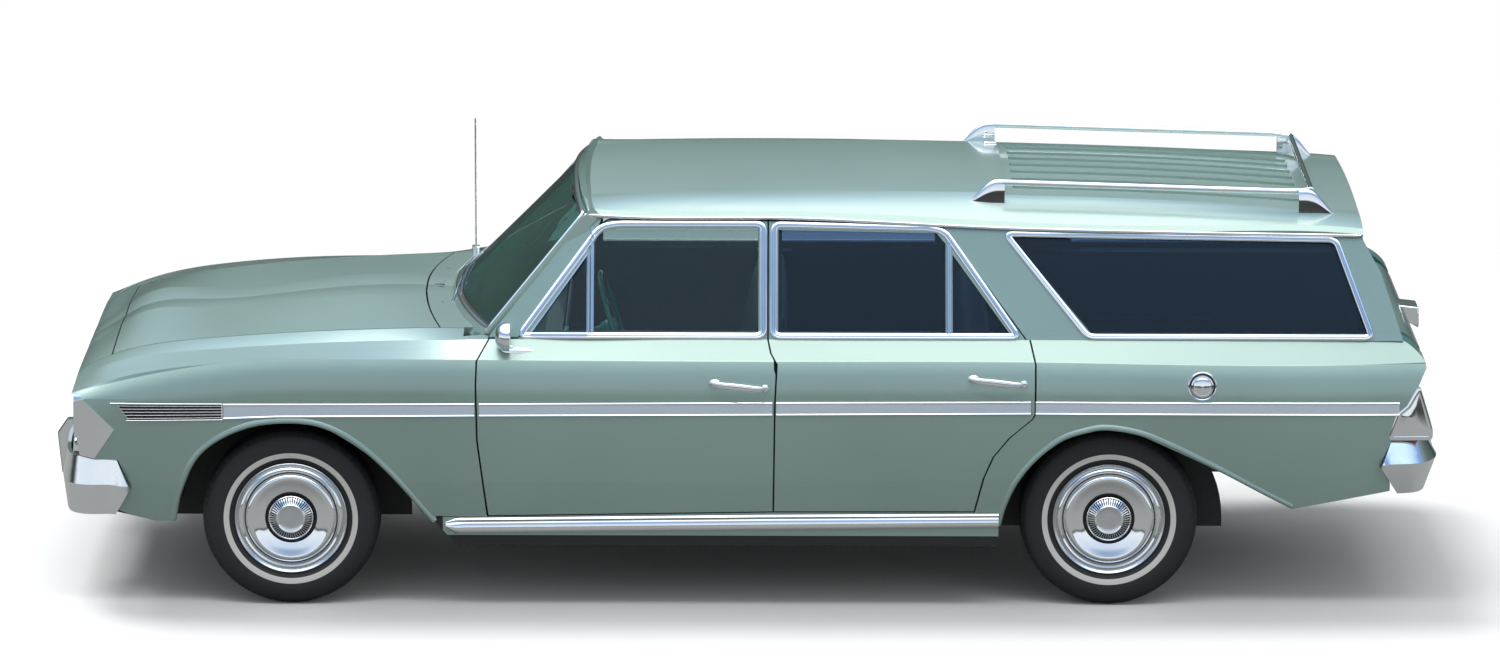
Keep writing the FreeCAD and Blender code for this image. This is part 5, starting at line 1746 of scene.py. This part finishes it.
@dataclass
class Tail:
    """Tail lamp bezels, the gate's handle and the frame of the tail glass."""

    lamp: Outline = (
        (-2236.0, 618.0), (-2262.0, 700.0), (-2296.0, 728.0), (-2330.0, 790.0), (-2371.0, 644.0),
        (-2371.0, 618.0))
    lamp_steps: Outline = ((0.04, 3.0), (0.5, 7.0), (0.9, 9.5))
    handle: Outline = (
        (-2325.0, 913.0), (-2396.0, 905.0), (-2399.5, 836.0), (-2336.0, 850.0))
    handle_y: float = 62.0
    glass_low: tuple[float, float] = (-2266.5, 950.0)
    glass_high: tuple[float, float] = (-2126.0, 1284.0)
    glass_y: tuple[float, float] = (650.0, 560.0)
    glass_rim: tuple[float, float] = (12.0, 24.0)

    def build(self, palette: Palette) -> None:
        """Everything at the tail.

        Args:
            palette: The finishes.
        """
        for side in Side:
            self.bezel(side, palette)
        x, z = np.array(self.handle).T
        rings = np.stack([sheet(x, y, z) for y in (-self.handle_y, self.handle_y)])
        handle = Piece("gate_handle").grid(rings, False, True).caps(rings)
        handle.make("tailgate", "chrome", [palette.chrome], bevel=4.0)
        self.glass_trim(palette)

    def bezel(self, side: Side, palette: Palette) -> None:
        """Bright bezel round a tail lamp, with its lid raised in steps towards the middle.

        Args:
            side: Side of the car.
            palette: The finishes.
        """
        path = on_flank(rounded(self.lamp, 6.0))
        middle = path.mean(0) + (0.0, 0.0, 8.0)
        rings = np.stack([path + (middle - path) * share + (0.0, out, 0.0) for share, out in self.lamp_steps])
        piece = Piece(f"tail_bezel_{side.word}")
        piece.tube(chamfered(9.0, 5.0, (-6.0, 2.0, 4.0)), path, LEFTWARD, closed=True)
        piece.grid(rings, False, True).fan(rings[-1])
        piece.make(SHELL, "chrome", [palette.chrome], side=side, smooth=30.0)

    def glass_trim(self, palette: Palette) -> None:
        """Bright frame round the tail glass, on the pane's plane.

        Args:
            palette: The finishes.
        """
        (low_x, low_z), (high_x, high_z) = self.glass_low, self.glass_high
        foot, head = self.glass_y
        low_rim, high_rim = self.glass_rim
        out = unit(np.array([low_z - high_z, 0.0, high_x - low_x]))
        corners = [(low_x, -foot, low_z + low_rim), (low_x, foot, low_z + low_rim),
                   (high_x, head, high_z - high_rim), (high_x, -head, high_z - high_rim)]
        frame = Piece("tail_glass_frame")
        frame.tube(chamfered(9.0, 4.0, (-1.0, 3.0, 6.0)), rounded(corners, 30.0) + out, out, closed=True)
        frame.make(SHELL, "chrome", [palette.chrome], smooth=50.0)


@dataclass
class RoofRack:
    """Bright rails on cast feet, a rear cross bar, and two cleats ahead of the ribbed pan.

    Each foot is its tip and heel, and the cleat its two corners, with y from their own middle.
    """

    y: float = 540.0
    front_x: float = -892.0
    front_z: float = 1450.0
    rear_x: float = -1970.0
    rear_z: float = 1418.0
    radius: float = 10.5
    turn_in: float = 50.0
    foot_wide: float = 15.0
    front_foot: tuple[Place, Place] = ((-776.0, 0.0, 1384.0), (-900.0, 0.0, 1379.0))
    rear_foot: tuple[Place, Place] = ((-2052.0, -6.0, 1340.0), (-1925.0, 0.0, 1350.0))
    cleat: tuple[Place, Place] = ((-905.0, -9.0, 1390.0), (-855.0, 9.0, 1408.0))
    cleat_y: float = 430.0

    def fin(self, piece: Piece, tip: Points, heel: Points, crest_z: float) -> None:
        """Swept foot: a blade whose side view runs from the tip up to the rail's end and down to the heel.

        The blade rises over the first four fifths of its length as sin^1.3, and its half width grows as the
        square root of the share from the tip. Round its section it is (cos t, sin^0.6 t).

        Args:
            piece: Piece that takes the foot.
            tip: Low pointed end on the roof.
            heel: Low end under the rail.
            crest_z: Height of the rail's end.
        """
        s = np.linspace(0.0, 1.0, 16)[:, None]
        t = np.linspace(0.0, np.pi, 13)
        x, y, z = np.split(tip + (heel - tip) * s, 3, 1)
        rise = (crest_z + self.radius - z) * np.sin(0.5 * np.pi * np.clip(s * 1.25, 0, 1)) ** 1.3
        wide = self.foot_wide * np.clip(s * 1.6, 0.02, 1.0) ** 0.5
        points = sheet(x, y + wide * np.cos(t), z + rise * np.sin(t) ** 0.6)
        piece.grid(points).fan(points[-1])

    def build(self, palette: Palette) -> None:
        """The whole rack, which stands for the plain solid, and its cleats.

        Args:
            palette: The finishes.
        """
        piece = Piece("roof_rack_bright")
        tube = circle(self.radius, 20)
        inner = self.y - self.turn_in
        for sign in (1.0, -1.0):
            y = sign * self.y
            rail = rounded([(self.front_x, y, self.front_z), (self.rear_x + 60.0, y, self.rear_z + 2.0),
                            (self.rear_x, sign * inner, self.rear_z)], 60.0, False, 7)
            piece.tube(tube, rail, UPWARD)
            for foot, crest_z in ((self.front_foot, self.front_z), (self.rear_foot, self.rear_z)):
                tip, heel = np.array(foot) * (1.0, sign, 1.0) + (0.0, y, 0.0)
                self.fin(piece, tip, heel, crest_z)
        bar = np.array([(self.rear_x, -inner, self.rear_z), (self.rear_x, inner, self.rear_z)])
        piece.tube(tube, bar, UPWARD)
        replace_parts(piece.make(SHELL, "chrome", [palette.chrome], smooth=50.0), "roof_rack")
        cleats = Piece("rack_cleats")
        for y in (self.cleat_y, -self.cleat_y):
            cleats.box(*(np.array(self.cleat) + (0.0, y, 0.0)))
        cleats.make(SHELL, "chrome", [palette.chrome], bevel=4.0)


@dataclass
class Seat:
    """Bench seat: a cushion and a back with sewn channels."""

    name: str
    node: str
    cushion: tuple[float, float, float, float]
    back: tuple[tuple[float, float], tuple[float, float]]
    half: float = 632.0
    thick: float = 120.0
    channels: int = 11
    power: float = 0.42

    def pad(self, low: Points, high: Points, depth: Points) -> Points:
        """Closed pad over width and girth.

        Round its section the pad is a rounded box, (cos^p t, sin^p t) with their signs kept, between low and
        high and as thick as depth. It thins at its ends, swells by a tenth in the middle, and its face drops
        by a tenth at each sewn channel, |cos|^0.35 across the width.

        Args:
            low: First end of the section's long axis, side view (x, z).
            high: Its other end.
            depth: Half thickness vector, side view (x, z).

        Returns:
            Array (columns, girth, 3).
        """
        s = np.linspace(-1.0, 1.0, 120)[:, None]
        t = np.linspace(0.0, 2 * np.pi, 56, endpoint=False)
        along, out = (np.sign(wave) * np.abs(wave) ** self.power for wave in (np.cos(t), np.sin(t)))
        edge = (1.0 - np.abs(s) ** 14) ** 0.5
        seam = np.abs(np.cos(s * self.channels * np.pi / 2)) ** 0.35
        swell = edge * (1.0 + 0.10 * (1.0 - s ** 2)) * (0.90 + 0.10 * seam * (np.abs(s) < 0.92))
        middle, reach = (low + high) / 2, (high - low) / 2
        x, z = (middle[i] + reach[i] * along * (0.96 + 0.04 * edge) + depth[i] * out * swell for i in (0, 1))
        return sheet(x, s * self.half, z)

    def build(self, palette: Palette) -> None:
        """Cushion and back, which stand for the plain solid, and the plinth under the cushion.

        Args:
            palette: The finishes.
        """
        x0, x1, z0, z1 = self.cushion
        level = (z0 + z1) / 2
        pads = (("cushion", (x0, level), (x1, level + 14.0), (0.0, (z1 - z0) / 2)),
                ("back", *self.back, (self.thick / 2, 0.0)))
        made = []
        for word, low, high, depth in pads:
            points = self.pad(np.array(low), np.array(high), np.array(depth))
            piece = Piece(f"{self.name}_{word}").grid(points, False, True).caps(points)
            made.append(piece.make(SHELL, "upholstery", [palette.vinyl], smooth=60.0))
        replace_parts(made[0], self.node)
        base = Piece(f"{self.name}_base")
        base.box((x0 + 40.0, 60.0 - self.half, 300.0), (x1 - 60.0, self.half - 60.0, z0 + 30.0))
        base.make(SHELL, "chassis", [palette.black], bevel=8.0)


@dataclass
class Cabin:
    """Steering wheel with its horn ring, and the dash with its band and dials."""

    lean: float = math.radians(17.0)
    hub: Place = (455.0, 370.0, 893.0)
    rim_radius: float = 200.0
    grip: float = 9.0
    grips: int = 40
    horn_radius: float = 105.0
    boss: Outline = (
        (-50.0, 0.02), (-50.0, 32.0), (-14.0, 40.0), (2.0, 34.0), (8.0, 20.0), (9.0, 0.02))
    dials: tuple[float, float] = (300.0, 440.0)
    dial: Outline = ((0.0, 46.0), (16.0, 46.0), (18.0, 42.0), (8.0, 40.0), (8.0, 0.02))
    dial_x: float = 642.0
    dial_z: float = 834.0
    band: tuple[Place, Place] = ((640.0, -640.0, 830.0), (640.0, 640.0, 830.0))

    def wheel(self, palette: Palette) -> None:
        """Thin rim with finger grips, boss, two spokes and a bright horn ring, square to the column.

        The rim at angle t has the section radius 9 + 0.8 cos^8 of forty times t.

        Args:
            palette: The finishes.
        """
        axis = np.array([-math.cos(self.lean), 0.0, math.sin(self.lean)])
        up = np.array([math.sin(self.lean), 0.0, math.cos(self.lean)])
        left, hub = np.array(LEFTWARD), np.array(self.hub)
        turn = np.linspace(0.0, 2 * np.pi, 96, endpoint=False)[:, None, None]
        ring = (self.grip + 0.8 * np.cos(turn * self.grips) ** 8) * circle(1.0, 14)
        radial = np.cos(turn) * left + np.sin(turn) * up
        rim = Piece("wheel_rim")
        rim.grid(hub + radial * (self.rim_radius + ring[..., :1]) + axis * ring[..., 1:], True, True)
        rim.lathe(np.array(self.boss), hub, axis, 40)
        for sign in (1.0, -1.0):
            spoke = np.array([hub - axis * 12.0 + left * sign * 30.0, hub - axis * 6.0 + left * sign * 196.0])
            rim.tube(slab(10.0, -3.0, 3.0), spoke, axis)
        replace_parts(rim.make("steering_wheel", "trim", [palette.grip]), "steering_wheel")
        turn = np.linspace(0.0, 2 * np.pi, 64, endpoint=False)[:, None]
        path = hub - axis * 4.0 + self.horn_radius * (np.cos(turn) * left + np.sin(turn) * up)
        horn = Piece("horn_ring").tube(circle(3.5, 10), path, axis, closed=True)
        horn.make("steering_wheel", "chrome", [palette.chrome])

    def build(self, palette: Palette) -> None:
        """Steering wheel, dash band and dials.

        Args:
            palette: The finishes.
        """
        self.wheel(palette)
        rearward = (-1.0, 0.0, 0.0)
        section = chamfered(26.0, 20.0, (-2.0, 4.0, 7.0))
        band = Piece("dash_band").tube(section, np.array(self.band), rearward)
        band.make(SHELL, "chrome", [palette.silver])
        for y in self.dials:
            centre = (self.dial_x, y, self.dial_z)
            dial = Piece(f"dial_{int(y)}").lathe(np.array(self.dial), centre, rearward, 36)
            dial.make(SHELL, "chrome", [palette.satin])


@dataclass
class Studio:
    """Pale floor, soft boxes, a soft sun and a plain sky.

    Each light is a name, its place, the point that it faces, its width and depth, and its power. Each wall
    is a list of heights, as the vertical part of the direction, and colours.
    """

    floor_size: float = 90.0
    floor_colour: Colour = (0.93, 0.93, 0.925)
    mirror_colour: Colour = (0.33, 0.33, 0.32)
    lights: tuple[tuple, ...] = (
        ("overhead", (0.0, -1.5, 7.0), (0.0, 0.0, 0.5), (9.0, 4.0), 60.0),
        ("key", (0.3, 4.8, 11.0), (0.0, 0.2, 0.8), (15.0, 2.6), 400.0),
        ("fill", (-8.0, 8.0, 4.0), (-0.4, 0.0, 0.7), (4.5, 3.0), 60.0),
        ("far_side", (0.0, -9.0, 6.0), (0.0, 0.0, 0.6), (8.0, 3.5), 110.0))
    sun_from: Place = (0.35, -0.40, 1.0)
    sun_power: float = 1.8
    sun_width: float = 25.0
    zenith: float = 3.4
    ambient: float = 0.52
    ambient_colour: tuple[float, ...] = (0.93, 0.97, 1.0, 1.0)
    right_wall: Bands = (
        (0.01, (0.016, 0.030, 0.027)), (0.26, (0.050, 0.060, 0.056)), (0.42, (0.075, 0.100, 0.130)))
    left_wall: Bands = (
        (0.01, (0.300, 0.320, 0.335)), (0.30, (0.225, 0.260, 0.310)), (0.42, (0.110, 0.145, 0.200)))
    upper_sky: Bands = (
        (0.53, (0.085, 0.140, 0.240)), (0.64, (0.26, 0.35, 0.45)), (0.76, (0.70, 0.74, 0.78)),
        (0.90, (1.0, 1.0, 1.0)))

    def build(self) -> None:
        """Floor, lights and world."""
        mesh = bpy.data.meshes.new("studio_floor")
        far = self.floor_size
        mesh.from_pydata([(-far, -far, 0), (far, -far, 0), (far, far, 0), (-far, far, 0)], [], [(0, 1, 2, 3)])
        mesh.materials.append(self.floor_finish())
        floor = bpy.data.objects.new("studio_floor", mesh)
        bpy.context.scene.collection.objects.link(floor)
        for name, place, target, size, power in self.lights:
            lamp = bpy.data.lights.new(name, "AREA")
            lamp.shape = "RECTANGLE"
            lamp.size, lamp.size_y = size
            made = self.hang(lamp, power, (Vector(target) - Vector(place)).to_track_quat("-Z", "Y"))
            made.location = place
            made.visible_glossy = False
        lamp = bpy.data.lights.new("sun", "SUN")
        lamp.angle = math.radians(self.sun_width)
        self.hang(lamp, self.sun_power, Vector(self.sun_from).to_track_quat("Z", "Y"))
        self.sky()

    def hang(self, lamp: bpy.types.Light, power: float, turn: Quaternion) -> bpy.types.Object:
        """Put a light into the scene.

        Args:
            lamp: The light.
            power: Its power.
            turn: Its direction.

        Returns:
            The light's object.
        """
        lamp.energy = power
        made = bpy.data.objects.new(lamp.name, lamp)
        made.rotation_euler = turn.to_euler()
        bpy.context.scene.collection.objects.link(made)
        return made

    def floor_finish(self) -> bpy.types.Material:
        """Floor: pale where the camera or glass sees it, white far off, and grey in mirrors.

        The far share rises over an ellipse whose long axis lies along the car, and so does the share that
        darkens the floor in mirrors.

        Returns:
            The material.
        """
        coat = Coat("studio floor")
        x, y, _ = coat.place()
        reach = ((x * 0.45) * (x * 0.45) + y * y).root()
        path = coat.node("ShaderNodeLightPath").outputs
        seen = Wave(coat, path["Is Camera Ray"]) + Wave(coat, path["Is Transmission Ray"])
        pale = coat.blend(coat.noise(40.0), shade(self.floor_colour, 0.99), self.floor_colour)
        near = coat.node("ShaderNodeBsdfDiffuse", None, {"Color": pale})
        white = coat.node("ShaderNodeEmission", None, {"Color": (1.0, 1.0, 1.0, 1.0), "Strength": 1.0})
        grey = coat.blend(reach.ramp(4.5, 9.0), self.mirror_colour, shade(self.mirror_colour, 0.15))
        dull = coat.node("ShaderNodeBsdfDiffuse", None, {"Color": grey})
        shown = self.either(coat, reach.ramp(2.2, 5.5), near, white)
        coat.node("ShaderNodeOutputMaterial", None, {0: self.either(coat, seen, dull, shown).outputs[0]})
        return coat.owner

    @staticmethod
    def either(coat: Coat, share: Wave, first: bpy.types.Node, second: bpy.types.Node) -> bpy.types.Node:
        """Mix of two shaders, the second where the share is one."""
        return coat.node("ShaderNodeMixShader", None, {0: share, 1: first.outputs[0], 2: second.outputs[0]})

    def wall(self, coat: Coat, height: Wave, low: Bands) -> bpy.types.NodeSocket:
        """Colour of one side of the room by height, under a sky that both sides share.

        Args:
            coat: The world's nodes.
            height: Vertical part of the direction.
            low: Heights and colours of the lower bands.

        Returns:
            The colour's socket.
        """
        ramp = coat.node("ShaderNodeValToRGB", None, {0: height})
        bands = (*low, *self.upper_sky)
        marks = ramp.color_ramp.elements
        for mark, (at, tone) in ((marks[0], bands[0]), (marks[1], bands[-1])):
            mark.position, mark.color = at, (*tone, 1.0)
        for at, tone in bands[1:-1]:
            marks.new(at).color = (*tone, 1.0)
        return ramp.outputs[0]

    def sky(self) -> None:
        """World: white where it is seen or looked through, and two walls under a sky in mirrors."""
        coat = Coat("studio sky", bpy.data.worlds)
        path = coat.node("ShaderNodeLightPath").outputs
        _, across, upward = coat.split(coat.node("ShaderNodeTexCoord").outputs["Generated"])
        side = coat.node("ShaderNodeMapRange", None, {"Value": across, "From Max": 0.3})
        room = coat.blend(Wave(coat, side.outputs[0]), self.wall(coat, upward, self.right_wall),
                          self.wall(coat, upward, self.left_wall))
        seen = coat.node("ShaderNodeMath", {"operation": "MAXIMUM"},
                         {0: path["Is Camera Ray"], 1: path["Is Transmission Ray"]})
        white = coat.node("ShaderNodeBackground", None, {0: (1.0, 1.0, 1.0, 1.0)})
        mirror = coat.node("ShaderNodeBackground", None, {0: room, 1: self.zenith})
        plain = coat.node("ShaderNodeBackground", None, {0: self.ambient_colour, 1: self.ambient})
        lit = self.either(coat, Wave(coat, path["Is Glossy Ray"]), plain, mirror)
        shown = self.either(coat, Wave(coat, seen.outputs[0]), lit, white)
        coat.node("ShaderNodeOutputWorld", None, {0: shown.outputs[0]})
        bpy.context.scene.world = coat.owner


@dataclass
class PhotoCamera:
    """Camera at the photograph's place."""

    distance: float = 26.0
    elevation: float = 12.4
    yaw: float = 0.0
    roll: float = 0.157
    target: Place = (-0.0147, 0.0, 0.7864)
    focal_px: float = 7274.0
    picture_px: float = 1500.0

    def build(self) -> None:
        """Make the camera: its axes are built from the angles, then turned by the roll."""
        el, yaw, roll = (math.radians(v) for v in (self.elevation, self.yaw, self.roll))
        back = Vector((math.sin(yaw) * math.cos(el), math.cos(yaw) * math.cos(el), math.sin(el)))
        right = (-back).cross(Vector((0.0, 0.0, 1.0))).normalized()
        up = right.cross(-back)
        right, up = right * math.cos(roll) + up * math.sin(roll), up * math.cos(roll) - right * math.sin(roll)
        data = bpy.data.cameras.new("photo camera")
        data.sensor_width = 36.0
        data.lens = self.focal_px * 36.0 / self.picture_px
        data.clip_start, data.clip_end = 1.0, 300.0
        made = bpy.data.objects.new("photo camera", data)
        place = Vector(self.target) + back * self.distance
        turn = Matrix((right, up, back)).transposed().to_4x4()
        made.matrix_world = Matrix.Translation(place) @ turn
        bpy.context.scene.collection.objects.link(made)
        bpy.context.scene.camera = made


def main() -> None:
    """Build the scene in order."""
    logging.basicConfig(level=logging.INFO, format="%(message)s")
    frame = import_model()
    bpy.context.scene.view_settings.view_transform = "Standard"
    palette = Palette()
    PhotoCamera().build()
    Studio().build()
    Coachwork().dress(palette, frame["nodes"])
    for part in (SideMoulding(), SillMoulding(), ArchLips(), WindowFrames(), Screen()):
        part.build(palette)
    for end, x, y in (("front", FRONT_AXLE_X, FRONT_TRACK_Y), ("rear", REAR_AXLE_X, REAR_TRACK_Y)):
        for side in Side:
            Wheel(f"{end}_{side.word}", x, side.value * y).build(palette)
    front_seat = Seat("front_seat", "front_bench", cushion=(0.0, 490.0, 400.0, 530.0),
                      back=((-10.0, 520.0), (-96.0, 975.0)))
    rear_seat = Seat("rear_seat", "rear_bench", cushion=(-790.0, -330.0, 410.0, 545.0),
                     back=((-765.0, 560.0), (-815.0, 920.0)), thick=95.0)
    for part in (WheelHouses(), FuelCap(), Mirror(), Handles(), Nose(), Tail(), RoofRack(), front_seat,
                 rear_seat, Cabin()):
        part.build(palette)
    bpy.context.view_layer.update()


if __name__ == "__main__":
    main()
